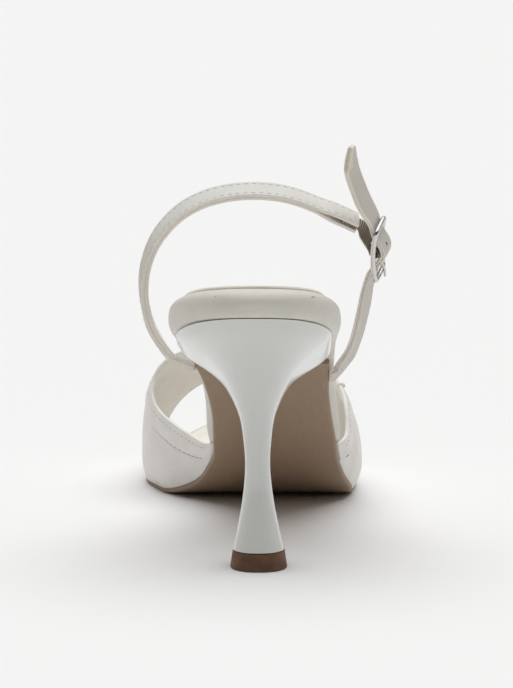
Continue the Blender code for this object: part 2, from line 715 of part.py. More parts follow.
def elastic_skin(extra_width=0.0, extra_thickness=0.0):
    """Elastic from its seat in the sling strap's end to a hook round the centre bar."""
    end, before = SLING_ROUTE[-1], SLING_ROUTE[-2]
    length = math.hypot(end.x - before.x, end.rise - before.rise)
    back_x, back_rise = (before.x - end.x) / length, (before.rise - end.rise) / length
    points, widths = [], []
    for share in (1.0, 0.5, 0.0):
        reach = ELASTIC_SEAT * share
        points.append(loop_point(end.x + back_x * reach, end.rise + back_rise * reach))
        widths.append(LOOP_FORWARD)
    between, between_widths = route_rows(ELASTIC_ROUTE, BUCKLE_ACROSS)
    points += between
    widths += between_widths
    radius = CENTRE_BAR + GAP + ELASTIC_THICKNESS / 2
    for angle in np.linspace(*ELASTIC_WRAP, WRAP_POINTS):
        turn = math.radians(angle)
        points.append(buckle_point(radius * math.sin(turn), CENTRE_BAR_DEPTH + radius * math.cos(turn)))
        widths.append(BUCKLE_ACROSS)
    outline = strap_outline(ELASTIC_WIDTH + extra_width, ELASTIC_THICKNESS + extra_thickness)
    return sweep(points, widths, lambda length, total: outline, ELASTIC_STEPS)


def round_outline(radius):
    angles = 2 * math.pi * np.arange(BAR_SIDES) / BAR_SIDES
    return [(radius * math.cos(a), radius * math.sin(a)) for a in angles]


def buckle_frame_skin():
    """Bowed frame with rounded corners, a closed round bar."""
    skin = Skin()
    corner_u, corner_v = FRAME_HALF_LENGTH - FRAME_CORNER, FRAME_HALF_WIDTH - FRAME_CORNER
    track = []
    for sign_u, sign_v, start in ((1, 1, 0), (-1, 1, 90), (-1, -1, 180), (1, -1, 270)):
        for angle in np.radians(np.linspace(start, start + 90, CORNER_POINTS)):
            track.append((
                sign_u * corner_u + FRAME_CORNER * math.cos(angle),
                sign_v * corner_v + FRAME_CORNER * math.sin(angle),
            ))
    filled = []
    for (u, v), (next_u, next_v) in zip(track, track[1:] + track[:1]):
        pieces = SIDE_PIECES if abs(next_u - u) > FRAME_HALF_LENGTH else 1
        filled += [(u + (next_u - u) * i / pieces, v + (next_v - v) * i / pieces) for i in range(pieces)]
    points = [
        buckle_point(u, CENTRE_BAR_DEPTH * (1 - (u / FRAME_HALF_LENGTH) ** 2), v) for u, v in filled
    ]
    rings = []
    for before, here, after in zip(points[-1:] + points[:-1], points, points[1:] + points[:1]):
        tangent = unit(after - before)
        face = unit(BUCKLE_OUT - tangent * np.dot(BUCKLE_OUT, tangent))
        side = np.cross(tangent, face)
        rings.append(skin.line([here + side * a + face * b for a, b in round_outline(FRAME_BAR)]))
    for one, other in zip(rings, rings[1:] + rings[:1]):
        skin.loop(one, other)
    return skin


def rod_skin(points, radii):
    """Round rod along a smooth line."""
    along = chord_lengths(np.array(points))
    radius = spline(along, radii)
    widths = [BUCKLE_ACROSS] * len(points)
    return sweep(points, widths, lambda length, total: round_outline(float(radius(length))), 2 * len(points))


def bar_skin(radius, half_length):
    """Round bar across the buckle at its centre."""
    skin = Skin()
    rings = []
    for across in (-half_length, half_length):
        rings.append(skin.line([
            buckle_point(a, CENTRE_BAR_DEPTH + b, across) for a, b in round_outline(radius)
        ]))
    skin.loop(*rings)
    for ring in rings:
        skin.faces.append(tuple(ring))
    return skin


def prong_shank_skin():
    points = [buckle_point(row.along, row.out) for row in PRONG_ROUTE]
    return rod_skin(points, np.linspace(PRONG_RADIUS, PRONG_TIP_RADIUS, len(points)))


def prong_hole_skin():
    """Straight rod that opens the strap round the prong."""
    ends = np.array([PRONG_ROUTE[0], PRONG_ROUTE[3]])
    points = [
        buckle_point(*(ends[0] + (ends[1] - ends[0]) * s))
        for s in np.linspace(0.05, 0.95, 4)
    ]
    return rod_skin(points, np.full(len(points), PRONG_HOLE))


def prong_slot_skin():
    """Block that opens the elastic for the prong."""
    skin = Skin()
    half = PRONG_SLOT / 2
    (back, front), (low, high) = PRONG_SLOT_ALONG, PRONG_SLOT_OUT
    corners = ((back, low), (front, low), (front, high), (back, high))
    rings = [skin.line([buckle_point(a, b, side) for a, b in corners]) for side in (-half, half)]
    skin.loop(*rings)
    for ring in rings:
        skin.faces.append(tuple(ring))
    return skin


def material(name, colour, roughness, metallic=0.0):
    made = bpy.data.materials.new(name)
    made.use_nodes = True
    shader = made.node_tree.nodes["Principled BSDF"]
    shader.inputs["Base Color"].default_value = (*colour, 1.0)
    shader.inputs["Roughness"].default_value = roughness
    shader.inputs["Metallic"].default_value = metallic
    return made


def add_object(name, skin, look, parent):
    mesh = bpy.data.meshes.new(name)
    work = bmesh.new()
    verts = [work.verts.new([value * MM for value in point]) for point in skin.points]
    for face in skin.faces:
        work.faces.new([verts[i] for i in face])
    bmesh.ops.remove_doubles(work, verts=work.verts, dist=WELD)
    bmesh.ops.recalc_face_normals(work, faces=work.faces)
    work.to_mesh(mesh)
    work.free()
    mesh.shade_smooth()
    mesh.set_sharp_from_angle(angle=SHARP_ANGLE)
    mesh.materials.append(look)
    made = bpy.data.objects.new(name, mesh)
    made.parent = parent
    bpy.context.collection.objects.link(made)
    return made


def apply_tool(target, tool, operation):
    """Join a tool body to the target or take it away. The tool itself isn't part of the shoe."""
    tool.hide_render = True
    tool.display_type = "WIRE"
    step = target.modifiers.new(tool.name, "BOOLEAN")
    step.operation = operation
    step.solver = "EXACT"
    step.object = tool


def build():
    for old in list(bpy.data.objects):
        bpy.data.objects.remove(old, do_unlink=True)
    shoe = bpy.data.objects.new("sandal", None)
    shoe.location = [-value * MM for value in ORIGIN]
    bpy.context.collection.objects.link(shoe)

    leather = material("cream_leather", CREAM, 0.5)
    lining = material("sock_leather", CREAM, 0.6)
    lacquer = material("white_lacquer", WHITE, 0.15)
    sole = material("taupe_sole", TAUPE, 0.55)
    rubber = material("brown_tip", BROWN, 0.6)
    nickel = material("nickel", NICKEL, 0.25, 1.0)
    ribbed = material("ribbed_elastic", ELASTIC, 0.8)

    add_object("outsole", outsole_skin(), sole, shoe)
    add_object("footbed", footbed_skin(), leather, shoe)
    add_object("sock", sock_skin(), lining, shoe)
    add_object("heel", heel_skin(), lacquer, shoe)
    add_object("heel_tip", heel_tip_skin(), rubber, shoe)
    add_object("vamp", vamp_skin(), leather, shoe)

    sling = add_object("sling_strap", sling_skin(), leather, shoe)
    slot = add_object("elastic_slot", elastic_skin(ELASTIC_SLOT_MARGIN, 2 * GAP), leather, shoe)
    apply_tool(sling, slot, "DIFFERENCE")

    strap = add_object("buckle_strap", buckle_strap_skin(), leather, shoe)
    hole = add_object("prong_hole", prong_hole_skin(), leather, shoe)
    apply_tool(strap, hole, "DIFFERENCE")

    elastic = add_object("elastic_tab", elastic_skin(), ribbed, shoe)
    opening = add_object("prong_slot", prong_slot_skin(), ribbed, shoe)
    apply_tool(elastic, opening, "DIFFERENCE")

    frame = add_object("buckle_frame", buckle_frame_skin(), nickel, shoe)
    bar = add_object("centre_bar", bar_skin(CENTRE_BAR, FRAME_HALF_WIDTH), nickel, shoe)
    apply_tool(frame, bar, "UNION")

    bore_radius = CENTRE_BAR + GAP
    ring = bar_skin(bore_radius + PRONG_RING_WALL, PRONG_RING_WIDTH / 2)
    prong = add_object("buckle_prong", ring, nickel, shoe)
    shank = add_object("prong_shank", prong_shank_skin(), nickel, shoe)
    bore = add_object("prong_bore", bar_skin(bore_radius, PRONG_RING_WIDTH), nickel, shoe)
    apply_tool(prong, shank, "UNION")
    apply_tool(prong, bore, "DIFFERENCE")


build()
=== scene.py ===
"""Looks of the slingback sandal: finer bodies, stitching, materials, floor, light and camera.

The shoe is drawn in millimetres on its own axes: x across with the lateral side positive, y forward from
the back of the footbed, z up from the ground. ORIGIN and MM turn its points into the frame's metres.
"""

import math
from collections import namedtuple

import bmesh
import bpy
import numpy as np
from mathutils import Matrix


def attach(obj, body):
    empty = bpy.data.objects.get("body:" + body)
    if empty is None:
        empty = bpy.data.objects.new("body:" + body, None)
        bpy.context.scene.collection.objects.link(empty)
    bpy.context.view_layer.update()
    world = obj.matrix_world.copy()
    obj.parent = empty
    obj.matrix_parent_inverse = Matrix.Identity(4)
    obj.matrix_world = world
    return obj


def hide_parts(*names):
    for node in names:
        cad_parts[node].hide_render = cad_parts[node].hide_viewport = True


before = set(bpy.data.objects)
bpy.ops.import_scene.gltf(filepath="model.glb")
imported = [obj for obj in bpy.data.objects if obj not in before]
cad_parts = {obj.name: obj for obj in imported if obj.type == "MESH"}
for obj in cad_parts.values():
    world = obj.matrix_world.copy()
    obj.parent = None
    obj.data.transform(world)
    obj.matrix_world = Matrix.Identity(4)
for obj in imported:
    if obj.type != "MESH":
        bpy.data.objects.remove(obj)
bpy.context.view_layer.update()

MM = 0.001
ORIGIN = np.array([1.7, 117.0, 0.0])
GAP = 0.3
WELD = 0.0001 * MM
SHARP_ANGLE = math.radians(50)

# Sole stack
OUTSOLE = 1.7
OUTSOLE_ROUND = 0.9
SOCK = 0.9
SOCK_INSET = 4.6
SOCK_ROUND = 0.75
BREAST_Y = 55.0
BALL_SEAT = OUTSOLE + GAP
SEAT_DISH = 1.2
DISH_WIDTH = 24.0
HEEL_CURL = 2.4
HEEL_CURL_REACH = 27.0
HEEL_CURL_POWER = 3.5
HEEL_CURL_FADE = (24.0, 52.0)
HEEL_CURL_HEIGHT = 7.0

# Seat line: the underside of the footbed down the middle of the shoe
Seat = namedtuple("Seat", "y z")
SEAT_LINE = (
    Seat(0, 87.0), Seat(12, 84.0), Seat(24, 80.2), Seat(36, 75.3), Seat(48, 69.0), Seat(60, 61.4),
    Seat(75, 50.2), Seat(90, 38.3), Seat(105, 26.4), Seat(115, 18.8), Seat(125, 11.7), Seat(135, 5.9),
    Seat(143, 2.95), Seat(150, 1.85), Seat(178, 1.85), Seat(190, 2.45), Seat(205, 4.2), Seat(220, 7.1),
    Seat(240, 12.2),
)

# Plan of the footbed at the widest line of its rounded edge
Plan = namedtuple("Plan", "y medial lateral")
HEEL_BACK = (0.0, 0.0)
TOE_TIP = (-6.0, 233.0)
FOOTBED_PLAN = (
    Plan(3, -13.5, 13.2), Plan(10, -22.0, 21.5), Plan(24, -28.4, 27.4), Plan(40, -27.9, 27.8),
    Plan(50, -25.2, 26.9), Plan(60, -21.9, 26.6), Plan(76, -18.4, 27.0), Plan(90, -17.3, 28.4),
    Plan(104, -16.9, 29.2), Plan(114, -16.0, 29.6), Plan(124, -19.4, 31.8), Plan(135, -27.8, 34.6),
    Plan(147, -36.0, 35.8), Plan(160, -39.0, 34.9), Plan(178, -38.2, 31.4), Plan(196, -34.8, 25.6),
    Plan(212, -28.8, 18.2), Plan(225, -19.5, 8.8),
)

# How thick the footbed is, and how far the outsole stays inside its edge
Thickness = namedtuple("Thickness", "y footbed")
FOOTBED_THICKNESS = (
    Thickness(0, 9.6), Thickness(50, 9.0), Thickness(80, 7.6), Thickness(110, 6.0),
    Thickness(140, 5.0), Thickness(240, 4.4),
)
Inset = namedtuple("Inset", "y medial lateral")
OUTSOLE_INSET = (
    Inset(50, 2.0, 2.0), Inset(70, 1.7, 1.7), Inset(92, 2.2, 1.8), Inset(104, 1.9, 0.9),
    Inset(112, 0.7, 0.4), Inset(119, -0.2, 0.2), Inset(127, 1.1, 0.4), Inset(134, 1.9, 0.2),
    Inset(143, 2.2, 0.6), Inset(152, 2.0, -0.4), Inset(159, 0.6, -1.9), Inset(166, -1.2, -2.7),
    Inset(178, -1.8, -2.3), Inset(190, -1.4, -1.4), Inset(205, -0.5, -0.5), Inset(240, 0.3, 0.3),
)

# Rounded edge of the footbed, from its underside to its top
Edge = namedtuple("Edge", "height inset")
FOOTBED_EDGE = (
    Edge(0.0, 3.0), Edge(0.12, 1.5), Edge(0.35, 0.2), Edge(0.57, 0.0), Edge(0.82, 1.05), Edge(1.0, 4.0),
)

# Heel rings from the foot of the heel to its cup, each a plane through a back and a front point
Ring = namedtuple("Ring", "back_y back_z front_y front_z half_width corner bow")
TIP_HEIGHT = 6.0
TIP_ROUND = 0.5
CUP_CURL = 0.7
CUP_SQUARE = 1.7
CUP_NARROW = 0.062
HEEL_LEAN = 0.9
BACK_ROUND = 2.2
HEEL_RINGS = (
    Ring(13.4, 6.3, 31.0, 6.3, 8.5, 3.0, 0.0),
    Ring(15.2, 13.0, 29.6, 13.0, 6.95, 2.8, 0.0),
    Ring(16.9, 21.0, 28.4, 21.0, 5.45, 2.6, 0.0),
    Ring(17.9, 29.0, 27.8, 28.6, 4.45, 2.5, 0.0),
    Ring(17.9, 37.0, 27.8, 35.5, 4.15, 2.5, 0.0),
    Ring(16.7, 46.0, 29.0, 41.5, 4.75, 2.6, 0.0),
    Ring(14.8, 54.0, 31.6, 47.0, 5.9, 2.8, 0.1),
    Ring(12.4, 62.0, 35.0, 52.2, 8.5, 3.0, 0.3),
    Ring(9.6, 70.0, 39.5, 56.5, 12.2, 3.6, 0.8),
    Ring(7.0, 76.5, 44.8, 60.2, 17.8, 4.4, 1.4),
    Ring(4.8, 81.5, 49.6, 63.2, 23.8, 5.0, 2.1),
    Ring(3.0, 86.0, 55.0, 64.8, 26.6, 5.0, 2.6),
)
TipRing = namedtuple("TipRing", "z back_y front_y half_width")
TIP_RINGS = (
    TipRing(0.0, 12.6, 31.7, 9.5), TipRing(3.0, 13.1, 31.3, 8.95), TipRing(TIP_HEIGHT, 13.4, 31.0, 8.6),
)
TIP_CORNER = 3.0

# Vamp: sections of the forefoot, each a crown and how square its two shoulders are
VAMP_WALL = 1.8
VAMP_TUCK = 1.5
VAMP_TUCK_HEIGHT = 8.0
VAMP_CROWN_X = -8.0
VAMP_RIM = 0.6
VAMP_RIM_WALL = 0.8
VAMP_SKIVE = 7.0
LASTING_SHARE = 0.07
LASTING_DRAPE = 0.2
LASTING_START = 112.0
LASTING_RAMP = 12.0
LASTING_CLEAR = 0.12
COLLAR_WIDTH = 9.9
COLLAR_STEP = 0.7
COLLAR_LIFT = 0.6
COLLAR_FINE_STEPS = 3
Section = namedtuple("Section", "y crown medial_shoulder lateral_shoulder")
VAMP_SECTIONS = (
    Section(105, 69.2, 4.0, 2.25), Section(125, 62.8, 4.0, 2.25), Section(140, 58.2, 3.9, 2.25),
    Section(150, 54.0, 3.7, 2.25), Section(165, 46.7, 3.2, 2.25), Section(180, 38.7, 2.7, 2.2),
    Section(190, 33.2, 2.4, 2.2), Section(200, 28.0, 2.3, 2.2), Section(216, 21.4, 2.3, 2.2),
)
# Rear and front edge of the vamp by the share of the way from its medial to its lateral base
EdgeLine = namedtuple("EdgeLine", "share rear front")
VAMP_EDGES = (
    EdgeLine(0.0, 105.0, 209.0), EdgeLine(0.07, 119.0, 208.5), EdgeLine(0.14, 131.8, 206.0),
    EdgeLine(0.21, 144.6, 201.0), EdgeLine(0.26, 149.4, 196.0), EdgeLine(0.32, 151.7, 190.5),
    EdgeLine(0.38, 152.5, 186.0), EdgeLine(0.5, 153.5, 182.0), EdgeLine(0.62, 150.0, 180.5),
    EdgeLine(0.7, 141.0, 181.5), EdgeLine(0.74, 133.5, 182.5), EdgeLine(0.79, 125.5, 184.0),
    EdgeLine(0.83, 120.5, 185.5), EdgeLine(0.88, 116.5, 187.5), EdgeLine(0.94, 111.8, 190.5),
    EdgeLine(1.0, 105.5, 194.0),
)
# Soft creases pressed into the vamp: from one place on its face to another
CREASE_FADE = 0.7
CREASE_RIDGE = 0.4
CREASE_RIDGE_OUT = 2
Crease = namedtuple("Crease", "share y end_share end_y width depth")
VAMP_CREASES = (
    Crease(0.925, 122.0, 0.945, 134.0, 0.9, 0.45), Crease(0.895, 123.0, 0.915, 132.0, 0.8, 0.35),
    Crease(0.08, 141.0, 0.12, 158.0, 1.6, 0.3), Crease(0.24, 170.0, 0.44, 169.0, 2.4, 0.35),
    Crease(0.54, 166.0, 0.74, 160.0, 2.4, 0.35), Crease(0.8, 150.0, 0.93, 152.0, 2.0, 0.3),
)

# Straps: the loop lies in a plane that leans back from where the straps leave the sole
LOOP_Y = 60.5
LOOP_Z = 59.4
LOOP_LEAN = math.radians(69)
STRAP_WIDTH = 9.0
SLING_THICKNESS = 2.2
SLING_LOW_THICKNESS = 3.0
SLING_LOW_START = 4.0
SLING_LOW_RAMP = 6.0
SLING_LOW_END = 24.0
SLING_LOW_FADE = 26.0
SLING_END_THICKNESS = 3.5
SLING_END_LENGTH = 16.0
SLING_END_RAMP = 8.0
SLING_LAYER = 1.09
TAIL_THICKNESS = 1.6
TAIL_LAYER = 0.76
EXIT_Y = {"medial": 57.9, "lateral": 64.2}
EXIT_OUT = {"medial": -1.0, "lateral": -0.8}
EXIT_DEPTH = 1.35
ROOT_REACH = 0.9
ROOT_RISE = -0.2
SLING_FLARE = 0.12
LOWER_THICKNESS = 2.1
LOWER_LENGTH = 29.0
LOWER_RAMP = 12.0
TAIL_POINT = 7.0
TAIL_TIP_WIDTH = 2.4
TAIL_ROUND = 0.7
RAW_SHARE = -0.05
RAW_MARGIN = 0.6
LAYER_CORNER = 0.2
LAYER_ROUND = 0.9
# Where each strap goes in that plane, and how far it has turned from the sole's edge into the plane
Route = namedtuple("Route", "x rise turn ahead", defaults=(1.0, 0.0))
Exit = namedtuple("Exit", "reach medial_rise lateral_rise medial_turn lateral_turn")
STRAP_EXIT = (
    Exit(0.0, 0.0, 0.0, 0.38, 0.25), Exit(1.2, 0.45, 0.8, 0.4, 0.25), Exit(2.3, 1.0, 2.0, 0.42, 0.26),
)
SLING_ROUTE = (
    Route(-27.9, 4.9, 0.48), Route(-31.0, 8.8, 0.58), Route(-33.5, 13.4, 0.7),
    Route(-35.6, 18.4, 0.85), Route(-37.1, 25.0, 0.95), Route(-37.7, 33.0), Route(-36.4, 42.4),
    Route(-33.8, 49.6), Route(-30.2, 55.4), Route(-25.0, 61.0), Route(-18.7, 65.1),
    Route(-10.0, 68.0), Route(0.0, 68.9), Route(8.5, 68.0), Route(14.5, 66.2),
    Route(24.4, 61.5), Route(29.4, 59.0), Route(33.4, 56.9),
)
BUCKLE_ROUTE = (
    Route(30.2, 3.2, 0.28, 3.5), Route(32.3, 7.9, 0.4, 2.6), Route(33.9, 12.9, 0.62, 1.5),
    Route(35.3, 19.5, 0.85, 0.6), Route(36.4, 26.0), Route(37.5, 33.0),
)
TAIL_ROUTE = (
    Route(36.2, 63.6), Route(33.2, 71.2), Route(31.2, 78.6), Route(31.4, 85.4),
)

# Buckle: its centre in the loop plane, its bars, the elastic round its centre bar, and the prong
BUCKLE_X = 41.3
BUCKLE_RISE = 47.0
BUCKLE_TURN = math.radians(15)
FREE_TURN = math.radians(23)
ENTRY_SINK = 0.7
FRAME_HALF_LENGTH = 9.4
FRAME_HALF_WIDTH = 6.0
FRAME_CORNER = 2.0
FRAME_BAR = 0.85
CENTRE_BAR = 0.75
CENTRE_BAR_DEPTH = -1.0
ELASTIC_WIDTH = 8.0
ELASTIC_THICKNESS = 0.9
ELASTIC_SEAT = 6.0
ELASTIC_WRAP = (180.0, 400.0)
ELASTIC_ROUTE = (Route(35.5, 54.6), Route(37.3, 51.4))
ELASTIC_RIB = 0.75
ELASTIC_RIB_DEPTH = 0.3
ELASTIC_RIB_POWER = 0.6
ELASTIC_COMB = 4
# Rib wave below which a face takes the elastic's painted valley shade
ELASTIC_VALLEY = -0.2
PRONG_RING_WALL = 0.9
PRONG_RING_WIDTH = 2.0
PRONG_RING_SOFT = 0.25
PRONG_SLOT = 2.7
PRONG_SLOT_ALONG = (-4.0, 2.6)
PRONG_SLOT_OUT = (-4.0, 2.5)
PRONG_RADIUS = 0.55
PRONG_TIP_RADIUS = 0.4
PRONG_HOLE = 1.0
ROD_BLUNT = 0.01
Reach = namedtuple("Reach", "along out")
PRONG_ROUTE = (
    Reach(-1.75, -0.55), Reach(-3.6, 0.25), Reach(-6.0, 1.2), Reach(-8.4, 1.8), Reach(-10.1, 1.85),
)
# The hole in the strap runs between two rows of that route, over this share of the way
PRONG_HOLE_ENDS = (0, 3)
PRONG_HOLE_REACH = (0.05, 0.95)

# Stitches: the sizes of a row are length, pitch and radius
STITCH_LENGTH = 1.9
STITCH_PITCH = 2.6
STITCH_RADIUS = 0.15
STITCH_END = 0.55
STITCH_SWELL = 0.45
STITCH_RISE = 1.1
STITCH_SINK = 0.75
CHANNEL_WIDTH = 0.45
CHANNEL_DEPTH = 0.08
STRAP_STITCH_INSET = 1.3
RIM_STITCH = 3.2
RIM_SIZES = (1.2, 2.3, 0.13)
LINING_STITCH = 3.2
SLING_STITCH_START = 1.0
SLING_END_INSET = 1.7
SLING_END_SIZES = (1.1, 1.6, 0.22)
COLLAR_STITCH = 10.4
VAMP_ROW_SHARES = np.linspace(0.012, 0.988, 400)

# Small leather end at the rim, and the strap's free hole
Tab = namedtuple("Tab", "share y lift")
TAB_SHARE = 0.755
TAB_ROUTE = (Tab(0.0, 1.6, -0.6), Tab(0.0, 1.4, 0.2), Tab(0.004, 1.2, 0.9), Tab(0.009, 1.0, 1.6))
TAB_WIDTH = 2.8
TAB_THICKNESS = 2.0
TAB_BLUNT = 0.05
HOLE_ALONG = 2.2
HOLE_RADIUS = 0.75
HOLE_REACHES = (-2.0, -0.7, 0.7, 2.0)

# How finely the bodies are drawn
SOLE_STATIONS = 180
EDGE_SAMPLES = 1440
EDGE_LAYERS = 20
ROUND_STEPS = 4
TIP_ROUND_STEPS = 5
CAP_COLUMNS = 20
HEEL_SIDES = 160
HEEL_LEVELS = 180
VAMP_COLUMNS = 260
VAMP_ROWS = 90
VAMP_COLLAR_ROWS = 60
RIM_STEPS = 10
VAMP_SHARES = 480
VAMP_Y_STEP = 0.5
VAMP_Y_RANGE = (100.0, 216.0)
TUCK_SAMPLES = 24
ARCH_SAMPLES = 361
STRAP_STEPS = 380
TAIL_STEPS = 420
ELASTIC_STEPS = 420
PRONG_STEPS = 60
CUTTER_STEPS = 12
CUTTER_POINTS = 4
TAB_STEPS = 40
STITCH_SIDES = 8
STITCH_RINGS = 9
SLING_ROW_POINTS = 240
SLING_END_POINTS = 40
STRAP_SEARCH = 2000
BAR_SIDES = 20
CORNER_POINTS = 10
SIDE_PIECES = 24
WAVE_POINTS = 9
WRAP_POINTS = 9
LAYER_FACE_POINTS = 25
LAYER_CORNER_POINTS = 4

# Numbers of the looks on a strap
GOOD_LOOK = 0
EDGE_LOOK = 1
BACK_LOOK = 2
RAW_LOOK = 3


def column(table, name):
    return np.array([getattr(row, name) for row in table], float)


def spline(knots, values):
    """Natural cubic curve through values, which may have several columns, at rising knots."""
    knots = np.asarray(knots, float)
    values = np.asarray(values, float)
    step = np.diff(knots)
    count = len(knots)
    system = np.eye(count)
    pull = np.zeros(values.shape)
    for i in range(1, count - 1):
        system[i, i - 1:i + 2] = step[i - 1], 2 * (step[i - 1] + step[i]), step[i]
        rise_after = (values[i + 1] - values[i]) / step[i]
        rise_before = (values[i] - values[i - 1]) / step[i - 1]
        pull[i] = 6 * (rise_after - rise_before)
    bend = np.linalg.solve(system, pull)

    def at(where):
        where = np.clip(np.asarray(where, float), knots[0], knots[-1])
        i = np.clip(np.searchsorted(knots, where) - 1, 0, count - 2)
        width = step[i]
        left = (knots[i + 1] - where) / width
        right = 1 - left
        if values.ndim > 1:
            left, right, width = left[..., None], right[..., None], width[..., None]
        flat = left * values[i] + right * values[i + 1]
        curl = (left ** 3 - left) * bend[i] + (right ** 3 - right) * bend[i + 1]
        return flat + curl * width ** 2 / 6

    return at


def table_curve(table, across, value):
    return spline(column(table, across), column(table, value))


def chord_lengths(points):
    steps = np.linalg.norm(np.diff(points, axis=0), axis=1)
    return np.concatenate([[0.0], np.cumsum(steps)])


def closed_curve(points, count):
    """Smooth closed line through points, sampled evenly."""
    ring = np.array(points, float)
    wrap = 4
    padded = np.vstack([ring[-wrap:], ring, ring[:wrap + 1]])
    along = chord_lengths(padded)
    line = spline(along, padded)
    return line(np.linspace(along[wrap], along[wrap + len(ring)], count, endpoint=False))


def unit(vectors):
    vectors = np.asarray(vectors, float)
    return vectors / np.linalg.norm(vectors, axis=-1, keepdims=True)


def signed_power(base, power):
    return np.sign(base) * np.abs(base) ** power


def hump(size, share):
    """Parabola that rises from 0 at both ends of the way to a size in the middle."""
    return size * 4 * share * (1 - share)


def ease(share):
    share = np.clip(share, 0, 1)
    return share * share * (3 - 2 * share)


class Skin:
    """Points and faces of one body, each face with the number of its look."""

    def __init__(self):
        self.points = []
        self.faces = []
        self.looks = []

    def line(self, points):
        first = len(self.points)
        self.points.extend(np.asarray(points, float).tolist())
        return list(range(first, len(self.points)))

    def face(self, corners, look=0):
        self.faces.append(tuple(corners))
        self.looks.append(look)

    def bridge(self, one, other, look=0):
        for i in range(len(one) - 1):
            number = look if isinstance(look, int) else look[i]
            self.face((one[i], one[i + 1], other[i + 1], other[i]), number)

    def loop(self, one, other, look=0):
        self.bridge(one + one[:1], other + other[:1], look)

    def stack(self, rings, closed=False):
        """Join each ring to the next, and the last to the first if closed."""
        for one, other in zip(rings, rings[1:] + rings[:1] * closed):
            self.loop(one, other)

    def tube(self, rings):
        """Body through rings, with a face at both ends."""
        self.stack(rings)
        self.face(rings[0])
        self.face(rings[-1])

    def add(self, other):
        first = len(self.points)
        self.points.extend(other.points)
        self.faces.extend(tuple(i + first for i in face) for face in other.faces)
        self.looks.extend(other.looks)
        return self


seat_curve = table_curve(SEAT_LINE, "y", "z")
footbed_thickness = table_curve(FOOTBED_THICKNESS, "y", "footbed")
medial_inset = table_curve(OUTSOLE_INSET, "y", "medial")
lateral_inset = table_curve(OUTSOLE_INSET, "y", "lateral")
vamp_crown = table_curve(VAMP_SECTIONS, "y", "crown")
medial_shoulder = table_curve(VAMP_SECTIONS, "y", "medial_shoulder")
lateral_shoulder = table_curve(VAMP_SECTIONS, "y", "lateral_shoulder")
vamp_rear = table_curve(VAMP_EDGES, "share", "rear")
vamp_front = table_curve(VAMP_EDGES, "share", "front")


# Sole

def seat_height(y):
    return np.maximum(seat_curve(y), BALL_SEAT)


def seat_slope(y):
    reach = 0.5
    return (seat_height(y + reach) - seat_height(y - reach)) / (2 * reach)


def heel_curl(x, y):
    """How far the seat drops towards both sides of the heel."""
    fade_start, fade_end = HEEL_CURL_FADE
    curl = HEEL_CURL * (np.abs(x) / HEEL_CURL_REACH) ** HEEL_CURL_POWER
    return curl * (1 - ease((y - fade_start) / (fade_end - fade_start)))


def on_sole(x, y, height):
    """Points at a height square to the seat line, whose underside curls down to both sides of the heel."""
    y = np.asarray(y, float)
    slope = seat_slope(y)
    square = np.sqrt(1 + slope ** 2)
    forward = y - height * slope / square
    curl = heel_curl(x, y) * (1 - ease(height / HEEL_CURL_HEIGHT))
    up = seat_height(y) + height / square - curl
    return np.stack(np.broadcast_arrays(np.asarray(x, float), forward, np.maximum(up, 0.0)), axis=-1)


def footbed_outline():
    medial = [(row.medial, row.y) for row in FOOTBED_PLAN]
    lateral = [(row.lateral, row.y) for row in reversed(FOOTBED_PLAN)]
    line = closed_curve([HEEL_BACK, *medial, TOE_TIP, *lateral], EDGE_SAMPLES)
    along = unit(np.roll(line, -1, axis=0) - np.roll(line, 1, axis=0))
    outward = np.stack([-along[:, 1], along[:, 0]], axis=-1)
    return line, outward


EDGE_LINE, EDGE_OUTWARD = footbed_outline()


def outsole_inset(x, y):
    return np.where(x < 0, medial_inset(y), lateral_inset(y))


def edge_sides(inset):
    """Medial and lateral edge, back to toe, of the footbed's plan drawn in by a size or a function."""
    depth = inset(*EDGE_LINE.T) if callable(inset) else np.full(EDGE_SAMPLES, inset)
    line = EDGE_LINE - EDGE_OUTWARD * depth[:, None]
    line = np.roll(line, -int(np.argmin(line[:, 1])), axis=0)
    toe = int(np.argmax(line[:, 1]))
    return line[:toe + 1], np.vstack([line[toe:], line[:1]])[::-1]


def edge_x(line, y):
    """Where an edge that runs from back to toe is at y."""
    return np.interp(y, line[:, 1], line[:, 0])


def edge_stations(inset, start=None):
    """Stations down the sole: y, medial x and lateral x. A start cuts the back off square."""
    medial, lateral = edge_sides(inset)
    share = np.linspace(0, 1, SOLE_STATIONS + 1)
    if start is None:
        share = (share + (1 - np.cos(math.pi * share)) / 2) / 2
        start = medial[0, 1]
    else:
        share = (share + np.sin(math.pi / 2 * share)) / 2
    y = start + (medial[-1, 1] - start) * share
    return y, edge_x(medial, y), edge_x(lateral, y)


def sole_sheet(layers, dish_under=0.0, dish_over=0.0, edge_look=0):
    """Body through edge layers from the underside up, each with its stations and heights over the seat."""
    skin = Skin()
    rings = []
    for (y, medial, lateral), height in layers:
        near = skin.line(on_sole(medial, y, height))
        far = skin.line(on_sole(lateral, y, height))
        rings.append((near, far))
    for (near, far), (near_up, far_up) in zip(rings, rings[1:]):
        skin.loop(near + far[::-1], near_up + far_up[::-1], edge_look)
    for ring, layer, sink in ((rings[0], layers[0], dish_under), (rings[-1], layers[-1], dish_over)):
        (y, medial, lateral), height = layer
        lines = [ring[0]]
        for i in range(1, CAP_COLUMNS):
            share = i / CAP_COLUMNS
            hollow = hump(sink, share) * np.clip((lateral - medial) / DISH_WIDTH, 0, 1)
            lines.append(skin.line(on_sole(medial + (lateral - medial) * share, y, height - hollow)))
        lines.append(ring[1])
        for one, other in zip(lines, lines[1:]):
            skin.bridge(one, other)
    return skin


